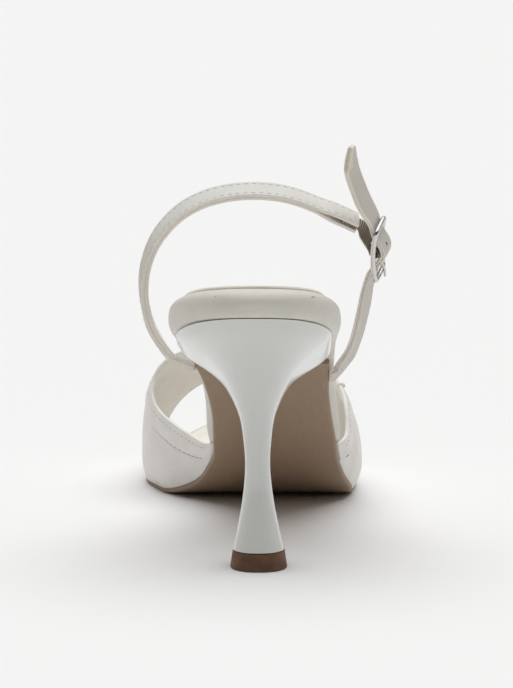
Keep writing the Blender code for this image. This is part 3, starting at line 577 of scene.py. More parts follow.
def footbed_skin():
    profile = np.array(FOOTBED_EDGE, float)
    rows = spline(np.arange(len(profile)), profile)(np.linspace(0, len(profile) - 1, EDGE_LAYERS + 1))
    layers = []
    for height, inset in rows:
        stations = edge_stations(inset)
        layers.append((stations, height * footbed_thickness(stations[0])))
    return sole_sheet(layers, dish_over=SEAT_DISH)


def rounded_layers(thickness, radius):
    """Lift and inset of an edge that is rounded at its top."""
    rows = [(0.0, 0.0)]
    for angle in np.linspace(0, math.pi / 2, ROUND_STEPS + 1):
        rows.append((thickness - radius + radius * math.sin(angle), radius - radius * math.cos(angle)))
    return rows


def sock_skin():
    layers = []
    for lift, extra in rounded_layers(SOCK, SOCK_ROUND):
        stations = edge_stations(SOCK_INSET + extra)
        layers.append((stations, footbed_thickness(stations[0]) + GAP + lift))
    return sole_sheet(layers, SEAT_DISH, SEAT_DISH, edge_look=1)


def outsole_skin():
    layers = []
    for lift, extra in reversed(rounded_layers(OUTSOLE, OUTSOLE_ROUND)):
        stations = edge_stations(lambda x, y, more=extra: outsole_inset(x, y) + more, BREAST_Y + GAP)
        layers.append((stations, -lift - GAP))
    return sole_sheet(layers)


# Heel

def heel_outline(back, front, half_width, corner, cup=0.0):
    """Rounded outline in plan: a soft back, and a front that is squarer as corner grows.

    Towards the cup the lateral half is squarer still and a little narrower.
    """
    angle = 2 * math.pi * (np.arange(HEEL_SIDES) + 0.5) / HEEL_SIDES
    lateral = cup * (np.cos(angle) > 0)
    power = np.where(np.sin(angle) > 0, 2 / (corner * (1 + CUP_SQUARE * lateral)), 2 / BACK_ROUND)
    x = half_width * (1 - CUP_NARROW * lateral) * signed_power(np.cos(angle), power)
    y = (back + front) / 2 + (front - back) / 2 * signed_power(np.sin(angle), power)
    return x, y


def across_cap(skin, ring):
    """Close a ring whose points pair up across the shoe with strips from side to side."""
    half = len(ring) // 2
    quarter = half // 2
    right = ring[-quarter:] + ring[:quarter]
    left = ring[quarter:quarter + half][::-1]
    skin.bridge(right, left)


def heel_body(rings):
    """Closed body through rings whose points pair up across the shoe."""
    skin = Skin()
    lines = [skin.line(ring) for ring in rings]
    skin.stack(lines)
    for line in (lines[0], lines[-1]):
        across_cap(skin, line)
    return skin


def heel_skin():
    """Heel from its foot up to the top ring, which lies under the footbed."""
    place = np.arange(len(HEEL_RINGS))
    rows = spline(place, np.array(HEEL_RINGS, float))(np.linspace(0, place[-1], HEEL_LEVELS + 1))
    rings = []
    for level, row in enumerate(rows):
        ring = Ring(*row)
        cup = ease((level / HEEL_LEVELS - CUP_CURL) / (1 - CUP_CURL))
        x, y = heel_outline(ring.back_y, ring.front_y, ring.half_width, ring.corner, cup)
        share = (y - ring.back_y) / (ring.front_y - ring.back_y)
        z = ring.back_z + (ring.front_z - ring.back_z) * share + hump(ring.bow, share)
        x = x + HEEL_LEAN * (1 - z / SEAT_LINE[0].z)
        rings.append(np.stack([x, y, z - heel_curl(x, y) * cup], axis=-1))
    rings[-1] = on_sole(x, y, -GAP)
    return heel_body(rings)


def heel_tip_skin():
    """Top piece with its lower and upper rim rounded over."""
    shape = spline(column(TIP_RINGS, "z"), np.array(TIP_RINGS, float)[:, 1:])
    turn = np.linspace(0, math.pi / 2, TIP_ROUND_STEPS + 1)
    rows = [(TIP_ROUND * (1 - math.cos(a)), TIP_ROUND * (1 - math.sin(a))) for a in turn]
    rows += [(TIP_HEIGHT - z, inset) for z, inset in reversed(rows)]
    rings = []
    for z, inset in rows:
        back, front, half_width = shape(z)
        x, y = heel_outline(back + inset, front - inset, half_width - inset, TIP_CORNER)
        rings.append(np.stack([x + HEEL_LEAN, y, np.full(HEEL_SIDES, z)], axis=-1))
    return heel_body(rings)


# Vamp

VAMP_MEDIAL_EDGE, VAMP_LATERAL_EDGE = edge_sides(-(GAP + VAMP_WALL + VAMP_TUCK / 2))


def vamp_section(y):
    """Outer face of the forefoot across the shoe at y, from the medial to the lateral base."""
    medial = edge_x(VAMP_MEDIAL_EDGE, y)
    lateral = edge_x(VAMP_LATERAL_EDGE, y)
    base = float(seat_height(y))
    wide = base + VAMP_TUCK_HEIGHT
    climb = np.linspace(0, 1, TUCK_SAMPLES, endpoint=False)
    tuck = VAMP_TUCK * (1 - climb) ** 2
    rising = base + climb * VAMP_TUCK_HEIGHT
    angle = np.linspace(0, math.pi, ARCH_SAMPLES)
    shoulder = np.where(angle < math.pi / 2, medial_shoulder(y), lateral_shoulder(y))
    reach = np.where(angle < math.pi / 2, VAMP_CROWN_X - medial, lateral - VAMP_CROWN_X)
    x = VAMP_CROWN_X - reach * signed_power(np.cos(angle), 2 / shoulder)
    z = wide + (float(vamp_crown(y)) - wide) * np.abs(np.sin(angle)) ** (2 / shoulder)
    x = np.concatenate([medial + tuck, x, (lateral - tuck)[::-1]])
    z = np.concatenate([rising, z, rising[::-1]])
    return np.stack([x, z], axis=-1)


def vamp_face():
    """The forefoot's face as a grid of points and outward directions, by y and by share across it."""
    shares = np.linspace(0, 1, VAMP_SHARES + 1)
    rows = []
    places = np.arange(VAMP_Y_RANGE[0], VAMP_Y_RANGE[1] + VAMP_Y_STEP, VAMP_Y_STEP)
    for y in places:
        section = vamp_section(y)
        along = chord_lengths(section)
        along /= along[-1]
        x = np.interp(shares, along, section[:, 0])
        z = np.interp(shares, along, section[:, 1])
        rows.append(np.stack([x, np.full(x.shape, y), z], axis=-1))
    points = np.array(rows)
    normals = unit(np.cross(np.gradient(points, axis=1), np.gradient(points, axis=0)))
    level_share = 0.04
    normals[..., 2] *= np.minimum(1.0, np.minimum(shares, 1 - shares) / level_share)
    return points, unit(normals)


VAMP_POINTS, VAMP_NORMALS = vamp_face()


def on_vamp(share, y, lift=0.0):
    """Points of the forefoot's face, raised by lift along its outward direction."""
    share, y, lift = np.broadcast_arrays(share, np.asarray(y, float), np.asarray(lift, float))
    inside = 1e-6
    across = np.clip(share * VAMP_SHARES, 0, VAMP_SHARES - inside)
    along = np.clip((y - VAMP_Y_RANGE[0]) / VAMP_Y_STEP, 0, len(VAMP_POINTS) - 1 - inside)
    i, j = along.astype(int), across.astype(int)
    a, b = (along - i)[..., None], (across - j)[..., None]

    def mixed(grid):
        near = grid[i, j] * (1 - b) + grid[i, j + 1] * b
        far = grid[i + 1, j] * (1 - b) + grid[i + 1, j + 1] * b
        return near * (1 - a) + far * a

    return mixed(VAMP_POINTS) + unit(mixed(VAMP_NORMALS)) * lift[..., None]


def channel(off):
    """Depth of a stitch channel at a distance from its middle."""
    return CHANNEL_DEPTH * np.exp(-(off / CHANNEL_WIDTH) ** 2)


def vamp_relief(share, y):
    """Lift of the outer face: the collar band, its stitch channels and the listed creases."""
    distance = y - vamp_rear(share)
    lift = COLLAR_LIFT * (1 - ease((distance - COLLAR_WIDTH) / COLLAR_STEP))
    for row in (RIM_STITCH, COLLAR_STITCH, COLLAR_WIDTH + COLLAR_STEP):
        lift = lift - channel(distance - row)
    lift = lift - channel(vamp_front(share) - y - RIM_STITCH)
    points = on_vamp(share, y)
    for crease in VAMP_CREASES:
        start = on_vamp(crease.share, crease.y)
        run = on_vamp(crease.end_share, crease.end_y) - start
        where = np.clip(((points - start) @ run) / (run @ run), 0, 1)
        off = np.linalg.norm(points - start - where[..., None] * run, axis=-1)
        fade = np.sin(math.pi * where) ** CREASE_FADE
        trough = np.exp(-(off / crease.width) ** 2)
        crest = (off - CREASE_RIDGE_OUT * crease.width) / crease.width
        ridge = CREASE_RIDGE * np.exp(-crest ** 2)
        lift = lift + crease.depth * fade * (ridge - trough)
    return lift


def vamp_wall(rear, front, y):
    """Thickness of lining and leather under the face, skived towards the rear and front rim."""
    inward = np.minimum(y - rear, front - y)
    return VAMP_RIM_WALL + (VAMP_WALL - VAMP_RIM_WALL) * ease(inward / VAMP_SKIVE)


def lasting_line(side, y):
    """Where the vamp's lower edge is drawn in to, at the top of the outsole's edge."""
    medial, lateral = edge_sides(outsole_inset)
    line = medial if side == "medial" else lateral
    drape = LASTING_DRAPE * ease((y - LASTING_START) / LASTING_RAMP)
    out = LASTING_CLEAR if side == "lateral" else -LASTING_CLEAR
    return on_sole(edge_x(line, y) + out, y, -GAP / 2 - drape)


def vamp_skin():
    """Shell with a rolled rim: look 0 is the outer leather, and 1 the lining."""
    skin = Skin()
    shares = np.linspace(0, 1, VAMP_COLUMNS + 1)
    collar_end = COLLAR_WIDTH + COLLAR_FINE_STEPS * COLLAR_STEP
    lines = []
    for share in shares:
        rear, front = float(vamp_rear(share)), float(vamp_front(share))
        collar = rear + np.linspace(VAMP_RIM, collar_end, VAMP_COLLAR_ROWS)
        rest = np.linspace(rear + collar_end, front - VAMP_RIM, VAMP_ROWS + 1)[1:]
        y = np.concatenate([collar, rest])
        lift = vamp_relief(np.full(y.shape, share), y)
        within = -vamp_wall(rear, front, y)
        turn = np.linspace(0, math.pi, RIM_STEPS + 1)[1:-1]
        bulge = VAMP_RIM * (1 - np.sin(turn))
        front_lift = (lift[-1] + within[-1]) / 2 + (lift[-1] - within[-1]) / 2 * np.cos(turn)
        rear_lift = (lift[0] + within[0]) / 2 - (lift[0] - within[0]) / 2 * np.cos(turn)
        around_y = np.concatenate([y, front - bulge, y[::-1], rear + bulge])
        around_lift = np.concatenate([lift, front_lift, within[::-1], rear_lift])
        around = on_vamp(share, around_y, around_lift)
        for side, away in (("medial", share), ("lateral", 1 - share)):
            pull = np.clip(1 - away / LASTING_SHARE, 0, 1) ** 2
            if pull > 0:
                base = on_vamp(0.0 if side == "medial" else 1.0, around_y)
                around = around + (lasting_line(side, around_y) - base) * pull
        lines.append(skin.line(around))
    count = VAMP_COLLAR_ROWS + VAMP_ROWS
    looks = [0] * (count + RIM_STEPS - 1) + [1] * (count - 1) + [0] * RIM_STEPS
    for near, far in zip(lines, lines[1:]):
        skin.loop(near, far, looks)
    for line in (lines[0], lines[-1]):
        within = line[count + RIM_STEPS - 1:2 * count + RIM_STEPS - 1][::-1]
        skin.bridge(line[:count], within)
        skin.face([line[count - 1], *line[count:count + RIM_STEPS - 1], within[-1]])
        skin.face([within[0], *line[2 * count + RIM_STEPS - 1:], line[0]])
    return skin


# Straps

ACROSS = np.array([1.0, 0.0, 0.0])
AHEAD = np.array([0.0, 1.0, 0.0])
LOOP_RISE = np.array([0.0, -math.cos(LOOP_LEAN), math.sin(LOOP_LEAN)])
LOOP_FORWARD = np.array([0.0, math.sin(LOOP_LEAN), math.cos(LOOP_LEAN)])
BUCKLE_OUT = ACROSS * math.cos(BUCKLE_TURN) - LOOP_FORWARD * math.sin(BUCKLE_TURN)
BUCKLE_ACROSS = ACROSS * math.sin(BUCKLE_TURN) + LOOP_FORWARD * math.cos(BUCKLE_TURN)
FREE_ACROSS = ACROSS * math.sin(FREE_TURN) + LOOP_FORWARD * math.cos(FREE_TURN)


def loop_point(x, rise):
    return np.array([x, LOOP_Y, LOOP_Z]) + LOOP_RISE * rise


def buckle_point(along, out, across=0.0):
    centre = loop_point(BUCKLE_X, BUCKLE_RISE)
    return centre + LOOP_RISE * along + BUCKLE_OUT * out + BUCKLE_ACROSS * across


def sole_edge_direction(y):
    slope = float(seat_slope(y))
    return unit([0.0, 1.0, slope])


def route_rows(route, finish):
    """Points of a route, each with the strap's width direction, turning from the sole's edge to finish."""
    edge = sole_edge_direction(LOOP_Y)
    points = [loop_point(row.x, row.rise) + AHEAD * row.ahead for row in route]
    widths = [unit(edge * (1 - row.turn) + finish * row.turn) for row in route]
    return points, widths


def exit_rows(side):
    """Where a strap comes out from beside the outsole and climbs round the footbed's edge."""
    medial, lateral = edge_sides(0.0)
    line, away = (medial, -1.0) if side == "medial" else (lateral, 1.0)
    turns, rises = column(STRAP_EXIT, side + "_turn"), column(STRAP_EXIT, side + "_rise")
    place = EXIT_Y[side]
    edge = abs(edge_x(line, place)) + EXIT_OUT[side]
    along = sole_edge_direction(place)
    rows = [(-ROOT_REACH, ROOT_RISE, turns[0]), *zip(column(STRAP_EXIT, "reach"), rises, turns)]
    points = [on_sole(away * (edge + reach), place, rise - EXIT_DEPTH) for reach, rise, _ in rows]
    widths = [unit(along * (1 - turn) + LOOP_FORWARD * turn) for _, _, turn in rows]
    return points, widths


class Track:
    """Smooth line through points with a strap's width direction at each."""

    def __init__(self, points, widths):
        points = np.array(points)
        along = chord_lengths(points)
        self.total = along[-1]
        self.path = spline(along, points)
        self.hint = spline(along, np.array(widths))

    def axes(self, length):
        reach = 0.2
        tangent = unit(self.path(length + reach) - self.path(length - reach))
        side = self.hint(length)
        side = unit(side - tangent * np.sum(side * tangent, axis=-1, keepdims=True))
        return self.path(length), side, np.cross(side, tangent)

    def point(self, length, across, out):
        place, side, face = self.axes(length)
        return place + side * across + face * out


def sweep(track, section, steps, looks=0):
    """Body along a track, whose section gives the outline's (width, face) pairs by length."""
    skin = Skin()
    rings = []
    lengths = np.linspace(0, track.total, steps + 1)
    for length in lengths:
        place, side, face = track.axes(length)
        outline = np.asarray(section(length))
        rings.append(skin.line(place + outline[:, :1] * side + outline[:, 1:] * face))
    for one, other, length in zip(rings, rings[1:], lengths):
        skin.loop(one, other, looks(length) if callable(looks) else looks)
    end = looks if isinstance(looks, int) else EDGE_LOOK
    skin.face(rings[0], end)
    skin.face(rings[-1], end)
    return skin


def layer_outline(width, thickness, middle, up, channels=()):
    """Rounded outline of one leather layer. up is the sign of its good face, which carries the channels."""
    half, depth = width / 2, thickness / 2
    corner = min(LAYER_CORNER, depth * LAYER_ROUND)
    turn = np.linspace(0, math.pi / 2, LAYER_CORNER_POINTS + 1)
    arc = np.stack([half - corner + corner * np.cos(turn), depth - corner + corner * np.sin(turn)], axis=-1)
    across = np.linspace(half - corner, corner - half, LAYER_FACE_POINTS + 2)[1:-1]
    good = np.full(across.shape, depth)
    for place in channels:
        good = good - channel(across - place)
    top = np.vstack([arc, np.stack([across, good], axis=-1), (arc * (-1, 1))[::-1]])
    plain = np.stack([-across, np.full(across.shape, -depth)], axis=-1)
    bottom = np.vstack([arc * (-1, -1), plain, (arc * (1, -1))[::-1]])
    outline = np.vstack([top, bottom])
    outline[:, 1] = middle + up * outline[:, 1]
    return outline


def layer_looks(outline):
    """Look of each stretch of a layer's outline: good face, cut edge or back."""
    count = len(outline) // 2
    corner = LAYER_CORNER_POINTS
    edges = [EDGE_LOOK] * corner
    flat = count - 1 - 2 * corner
    good = edges + [GOOD_LOOK] * flat + edges + [EDGE_LOOK]
    return good + edges + [BACK_LOOK] * flat + edges + [EDGE_LOOK]


def strap_layers(track, steps, layer, good_side, looks):
    """Two leather layers back to back, of which the second has the back's look on both faces."""
    skin = Skin()
    for up, face in ((good_side, GOOD_LOOK), (-good_side, BACK_LOOK)):
        skin.add(sweep(
            track, lambda length: layer(length, up), steps,
            lambda length: [face if look == GOOD_LOOK else look for look in looks(length)],
        ))
    return skin


def sling_track():
    start, edges = exit_rows("medial")
    points, widths = route_rows(SLING_ROUTE, LOOP_FORWARD)
    reach = min(column(SLING_ROUTE, "x"))
    flared = [
        unit(width - ACROSS * SLING_FLARE * max(row.x / reach, 0.0))
        for width, row in zip(widths, SLING_ROUTE)
    ]
    return Track(start + points, edges + flared)


SLING = sling_track()
STRAP_STITCHES = (STRAP_STITCH_INSET - STRAP_WIDTH / 2, STRAP_WIDTH / 2 - STRAP_STITCH_INSET)


def sling_stoutness(length):
    """How much thicker the strap is on its way up from the sole."""
    low = ease((length - SLING_LOW_START) / SLING_LOW_RAMP)
    low = low * (1 - ease((length - SLING_LOW_END) / SLING_LOW_FADE))
    return (SLING_LOW_THICKNESS - SLING_THICKNESS) * low


def sling_layer(length):
    """Thickness of each of the strap's two layers."""
    return SLING_LAYER + sling_stoutness(length) / 2


def sling_offset(length):
    """How far each layer's middle stands from the strap's own middle."""
    swell = ease((length - SLING.total + SLING_END_LENGTH) / SLING_END_RAMP)
    thickness = SLING_THICKNESS + (SLING_END_THICKNESS - SLING_THICKNESS) * swell
    return (thickness + sling_stoutness(length) - sling_layer(length)) / 2


def sling_skin():
    """Two leather layers that part near the end to take the elastic."""
    def layer(length, up):
        return layer_outline(STRAP_WIDTH, sling_layer(length), up * sling_offset(length), up, STRAP_STITCHES)

    looks = layer_looks(layer(0.0, 1))
    return strap_layers(SLING, STRAP_STEPS, layer, -1, lambda length: looks)


def strap_wave(along):
    """How far the strap stands out as it passes under one end bar, over the centre bar and under again."""
    low = -(FRAME_BAR + GAP + TAIL_THICKNESS / 2)
    high = CENTRE_BAR_DEPTH + CENTRE_BAR + 2 * GAP + ELASTIC_THICKNESS + TAIL_THICKNESS / 2
    return (low + high) / 2 + (high - low) / 2 * math.cos(math.pi * along / FRAME_HALF_LENGTH)


def buckle_strap_track():
    start, edges = exit_rows("lateral")
    points, widths = route_rows(BUCKLE_ROUTE, FREE_ACROSS)
    points, widths = start + points, edges + widths
    for along in np.linspace(-FRAME_HALF_LENGTH, FRAME_HALF_LENGTH, WAVE_POINTS):
        turned = ease(along / FRAME_HALF_LENGTH + 1)
        points.append(buckle_point(along, strap_wave(along) - ENTRY_SINK * (1 - turned)))
        widths.append(BUCKLE_ACROSS * turned + FREE_ACROSS * (1 - turned))
    tail_points, tail_widths = route_rows(TAIL_ROUTE, FREE_ACROSS)
    return Track(points + tail_points, widths + tail_widths)


TAIL = buckle_strap_track()


def tail_width(length):
    taper = np.clip((TAIL.total - length) / TAIL_POINT, 0, 1) ** TAIL_ROUND
    return TAIL_TIP_WIDTH + (STRAP_WIDTH - TAIL_TIP_WIDTH) * taper


def tail_thickness(length):
    """The strap is stouter below the buckle."""
    thinning = ease((length - LOWER_LENGTH) / LOWER_RAMP)
    return LOWER_THICKNESS + (TAIL_THICKNESS - LOWER_THICKNESS) * thinning


def buckle_strap_skin():
    """Two leather layers laid together, with a pointed free end whose one side is cut raw."""
    share = TAIL_LAYER / TAIL_THICKNESS

    def layer(length, up):
        thickness = tail_thickness(length)
        return layer_outline(tail_width(length), thickness * share, up * thickness * (1 - share) / 2, up)

    start = layer(0.0, 1)
    plain = layer_looks(start)
    limit = RAW_SHARE * STRAP_WIDTH / 2
    raw = [RAW_LOOK if across < limit else look for across, look in zip(start[:, 0], plain)]

    def looks(length):
        return raw if length > TAIL.total - TAIL_POINT - RAW_MARGIN else plain

    return strap_layers(TAIL, TAIL_STEPS, layer, 1, looks)


def elastic_track():
    end, before = SLING_ROUTE[-1], SLING_ROUTE[-2]
    length = math.hypot(end.x - before.x, end.rise - before.rise)
    back_x, back_rise = (before.x - end.x) / length, (before.rise - end.rise) / length
    points, widths = [], []
    for share in (1.0, 0.5, 0.0):
        reach = ELASTIC_SEAT * share
        points.append(loop_point(end.x + back_x * reach, end.rise + back_rise * reach))
        widths.append(LOOP_FORWARD)
    between, between_widths = route_rows(ELASTIC_ROUTE, FREE_ACROSS)
    points += between
    widths += between_widths
    radius = CENTRE_BAR + GAP + ELASTIC_THICKNESS / 2
    for angle in np.linspace(*ELASTIC_WRAP, WRAP_POINTS):
        turn = math.radians(angle)
        points.append(buckle_point(radius * math.sin(turn), CENTRE_BAR_DEPTH + radius * math.cos(turn)))
        widths.append(BUCKLE_ACROSS)
    return Track(points, widths)


def rib_wave(length):
    """Wave of the elastic's ribs, from -1 in a valley to 1 on a crest."""
    return math.cos(2 * math.pi * length / ELASTIC_RIB)


def elastic_skin():
    """Ribbed band: the ribs run across it and comb its edges, and painted shade darkens its valleys."""
    def section(length):
        crest = (1 + rib_wave(length)) / 2
        sink = ELASTIC_RIB_DEPTH * (1 - crest ** ELASTIC_RIB_POWER)
        return layer_outline(ELASTIC_WIDTH - ELASTIC_COMB * sink, ELASTIC_THICKNESS - 2 * sink, 0.0, 1)

    def looks(length):
        # Valleys take the second look, a painted near-black shade
        return int(rib_wave(length) < ELASTIC_VALLEY)

    return sweep(elastic_track(), section, ELASTIC_STEPS, looks)


# Buckle

def round_outline(radius):
    angles = 2 * math.pi * np.arange(BAR_SIDES) / BAR_SIDES
    return [(radius * math.cos(a), radius * math.sin(a)) for a in angles]


def buckle_frame_skin():
    """Bowed frame with rounded corners and a centre bar."""
    skin = Skin()
    corner_u, corner_v = FRAME_HALF_LENGTH - FRAME_CORNER, FRAME_HALF_WIDTH - FRAME_CORNER
    track = []
    for sign_u, sign_v, start in ((1, 1, 0), (-1, 1, 90), (-1, -1, 180), (1, -1, 270)):
        for angle in np.radians(np.linspace(start, start + 90, CORNER_POINTS)):
            track.append((
                sign_u * corner_u + FRAME_CORNER * math.cos(angle),
                sign_v * corner_v + FRAME_CORNER * math.sin(angle),
            ))
    filled = []
    for (u, v), (next_u, next_v) in zip(track, track[1:] + track[:1]):
        pieces = SIDE_PIECES if abs(next_u - u) > FRAME_HALF_LENGTH else 1
        filled += [(u + (next_u - u) * i / pieces, v + (next_v - v) * i / pieces) for i in range(pieces)]
    points = [
        buckle_point(u, CENTRE_BAR_DEPTH * (1 - (u / FRAME_HALF_LENGTH) ** 2), v) for u, v in filled
    ]
    rings = []
    for before, here, after in zip(points[-1:] + points[:-1], points, points[1:] + points[:1]):
        tangent = unit(after - before)
        face = unit(BUCKLE_OUT - tangent * np.dot(BUCKLE_OUT, tangent))
        side = np.cross(tangent, face)
        rings.append(skin.line([here + side * a + face * b for a, b in round_outline(FRAME_BAR)]))
    skin.stack(rings, closed=True)
    skin.tube([bar_ring(skin, CENTRE_BAR, across) for across in (-FRAME_HALF_WIDTH, FRAME_HALF_WIDTH)])
    return skin


def bar_ring(skin, radius, across):
    """Ring of points round the buckle's centre bar."""
    return skin.line([buckle_point(a, CENTRE_BAR_DEPTH + b, across) for a, b in round_outline(radius)])


def blunt(left, size, least):
    """Share of the full width where a rounded end is still some length away."""
    return math.sqrt(max(1 - max(1 - left / size, 0.0) ** 2, least))


def rod_skin(points, radii, steps):
    """Round rod along a smooth line, closed by a rounded tip."""
    track = Track(points, [BUCKLE_ACROSS] * len(points))
    radius = spline(chord_lengths(np.array(points)), radii)

    def section(length):
        size = float(radius(length))
        return round_outline(size * blunt(track.total - length, size, ROD_BLUNT))

    return sweep(track, section, steps)


def prong_skin():
    """Sleeve round the centre bar with softened edges, and the rod that leaves it."""
    skin = Skin()
    inner, half = CENTRE_BAR + GAP, PRONG_RING_WIDTH / 2
    outer = inner + PRONG_RING_WALL
    soft = (outer - inner) * PRONG_RING_SOFT
    profile = (
        (inner, soft - half), (inner + soft, -half), (outer - soft, -half), (outer, soft - half),
        (outer, half - soft), (outer - soft, half), (inner + soft, half), (inner, half - soft),
    )
    skin.stack([bar_ring(skin, *row) for row in profile], closed=True)
    points = [buckle_point(*row) for row in PRONG_ROUTE]
    return skin.add(rod_skin(points, np.linspace(PRONG_RADIUS, PRONG_TIP_RADIUS, len(points)), PRONG_STEPS))


def prong_hole_skin():
    """Straight rod that opens the strap round the prong."""
    start, end = (np.array(PRONG_ROUTE[i]) for i in PRONG_HOLE_ENDS)
    shares = np.linspace(*PRONG_HOLE_REACH, CUTTER_POINTS)
    points = [buckle_point(*(start + (end - start) * share)) for share in shares]
    return rod_skin(points, [PRONG_HOLE] * len(points), CUTTER_STEPS)


def prong_slot_skin():
    """Block that opens the elastic for the prong."""
    skin = Skin()
    (back, front), (low, high) = PRONG_SLOT_ALONG, PRONG_SLOT_OUT
    corners = ((back, low), (front, low), (front, high), (back, high))
    sides = (-PRONG_SLOT / 2, PRONG_SLOT / 2)
    skin.tube([skin.line([buckle_point(a, b, side) for a, b in corners]) for side in sides])
    return skin


# Stitches

def stitch_skin(line, normals, length=STITCH_LENGTH, pitch=STITCH_PITCH, radius=STITCH_RADIUS):
    """Row of thread stitches lying on a line of points, each dipping into the leather at its ends."""
    skin = Skin()
    reach = 0.1
    along = chord_lengths(line)
    path, out = spline(along, line), spline(along, normals)
    angles = 2 * math.pi * np.arange(STITCH_SIDES) / STITCH_SIDES
    for start in np.arange(pitch / 2, along[-1] - length, pitch):
        rings = []
        for share in np.linspace(0, 1, STITCH_RINGS):
            place = start + length * share
            up = unit(out(place))
            side = np.cross(up, unit(path(place + reach) - path(place - reach)))
            arch = 1 - (2 * share - 1) ** 2
            size = radius * (STITCH_END + STITCH_SWELL * math.sqrt(arch))
            centre = path(place) + up * radius * (STITCH_RISE * arch - STITCH_SINK)
            ring = [centre + side * size * math.cos(a) + up * size * math.sin(a) for a in angles]
            rings.append(skin.line(ring))
        skin.tube(rings)
    return skin


def vamp_row(y, *sizes):
    """Stitches across the vamp's face at y, which has a value for each of VAMP_ROW_SHARES."""
    line = on_vamp(VAMP_ROW_SHARES, y, vamp_relief(VAMP_ROW_SHARES, y))
    normals = on_vamp(VAMP_ROW_SHARES, y, 1.0) - on_vamp(VAMP_ROW_SHARES, y)
    return stitch_skin(line, normals, *sizes)


def rim_stitches():
    """Rows beside the collar's rim and the toe opening."""
    rear, front = vamp_rear(VAMP_ROW_SHARES), vamp_front(VAMP_ROW_SHARES)
    return vamp_row(rear + RIM_STITCH, *RIM_SIZES).add(vamp_row(front - RIM_STITCH, *RIM_SIZES))


def seam_stitches():
    """Row in the step below the collar."""
    return vamp_row(vamp_rear(VAMP_ROW_SHARES) + COLLAR_STITCH)


def lining_stitches():
    """Rows on the lining beside its rear and front edge."""
    skin = Skin()
    shares = VAMP_ROW_SHARES
    rear, front = vamp_rear(shares), vamp_front(shares)
    for y in (rear + LINING_STITCH, front - LINING_STITCH):
        depth = vamp_wall(rear, front, y)
        normals = on_vamp(shares, y) - on_vamp(shares, y, 1.0)
        skin.add(stitch_skin(on_vamp(shares, y, -depth), normals))
    return skin


def sling_row(places, sink, *sizes):
    """Stitches on the strap's good face, through places given as length along it and way across it."""
    line, normals = [], []
    for length, across in places:
        lift = sling_offset(length) + sling_layer(length) / 2 - sink
        line.append(SLING.point(length, across, -lift))
        normals.append(-SLING.axes(length)[2])
    return stitch_skin(np.array(line), np.array(normals), *sizes)


def sling_stitches():
    """Rows along both edges of the strap's good face."""
    skin = Skin()
    lengths = np.linspace(SLING_STITCH_START, SLING.total - SLING_END_INSET, SLING_ROW_POINTS)
    for across in STRAP_STITCHES:
        skin.add(sling_row([(length, across) for length in lengths], CHANNEL_DEPTH))
    return skin


def sling_end_stitches():
    """Row across the end of the strap, over the elastic."""
    length = SLING.total - SLING_END_INSET
    places = [(length, across) for across in np.linspace(*STRAP_STITCHES, SLING_END_POINTS)]
    return sling_row(places, 0.0, *SLING_END_SIZES)


# Small parts

def rim_tab():
    """Folded leather end that sticks out at the lateral rim."""
    points = [on_vamp(TAB_SHARE + row.share, vamp_rear(TAB_SHARE) + row.y, row.lift) for row in TAB_ROUTE]
    track = Track(points, [AHEAD] * len(points))

    def section(length):
        share = blunt(track.total - length, TAB_THICKNESS, TAB_BLUNT)
        return layer_outline(TAB_WIDTH * share, TAB_THICKNESS * share, 0.0, 1)

    return sweep(track, section, TAB_STEPS)


def strap_length(along):
    """Length along the buckle strap at a place along the buckle."""
    lengths = np.linspace(0, TAIL.total, STRAP_SEARCH)
    away = np.linalg.norm(TAIL.path(lengths) - buckle_point(along, strap_wave(along)), axis=1)
    return float(lengths[np.argmin(away)])


def strap_hole_skin():
    """Rod through the strap for the free hole above the centre bar."""
    place, _, face = TAIL.axes(strap_length(HOLE_ALONG))
    points = [place + face * reach for reach in HOLE_REACHES]
    return rod_skin(points, [HOLE_RADIUS] * len(points), CUTTER_STEPS)


# Materials

CREAM = (0.745, 0.735, 0.69)
ELASTIC_CREST = (0.55, 0.47, 0.38)
# Painted shade: near-black colour of the valleys between the elastic's ribs
ELASTIC_VALLEY_PAINTED_SHADE = (0.05, 0.04, 0.03)
# Vamp leather: a whiter cream, lightened further as painted light for light bounced up from the floor
UPPER_PAINTED_LIGHT = (0.87, 0.84, 0.80)
WRAP = (0.715, 0.69, 0.625)
SOCK_CREAM = (0.81, 0.805, 0.715)
# Buckle strap's leather: the strap cream darkened as painted shade
TAIL_CREAM_PAINTED_SHADE = (0.62, 0.585, 0.515)
# Warm pale lining leather, lightened further as painted light where little light reaches inside the vamp
LINING_PAINTED_LIGHT = (0.97, 0.92, 0.875)
# Folded leather edges, lightened as painted light where they sit in shade
FOLDED_EDGE_PAINTED_LIGHT = (0.87, 0.82, 0.745)
RAW_EDGE = (0.82, 0.75, 0.62)
# Painted shade: warm dark tint over the lower part of the sling strap
LOW_PAINTED_SHADE_TINT = (0.82, 0.785, 0.73, 1.0)
SCUFF_TINT = (0.2, 0.15, 0.1, 1.0)
HEEL_SCUFFS = (((18.9, 7.0, 92.2), (1.5, 4.0, 0.42)), ((-13.2, 3.2, 93.0), (0.4, 3.0, 0.3)))
# Heights in millimetres between which the sling strap's painted shade fades out
SLING_PAINTED_SHADE_HEIGHTS = (96.0, 116.0)
PALE_THREAD = (0.84, 0.82, 0.77)
TAN_THREAD = (0.70, 0.64, 0.55)
SEAM_THREAD = (0.30, 0.26, 0.21)
WHITE_THREAD = (0.93, 0.92, 0.89)
LACQUER = (0.775, 0.787, 0.757)
TAUPE = (0.316, 0.22, 0.146)
TIP_BROWN = (0.14, 0.064, 0.03)
TIP_PALE = (0.19, 0.09, 0.044)
NICKEL = (0.70, 0.69, 0.67)
PAPER = (0.90, 0.90, 0.90)
UNTINTED = (1.0, 1.0, 1.0, 1.0)
# Share of a scuff's reach within which it doesn't fade
SPOT_CORE = 0.5
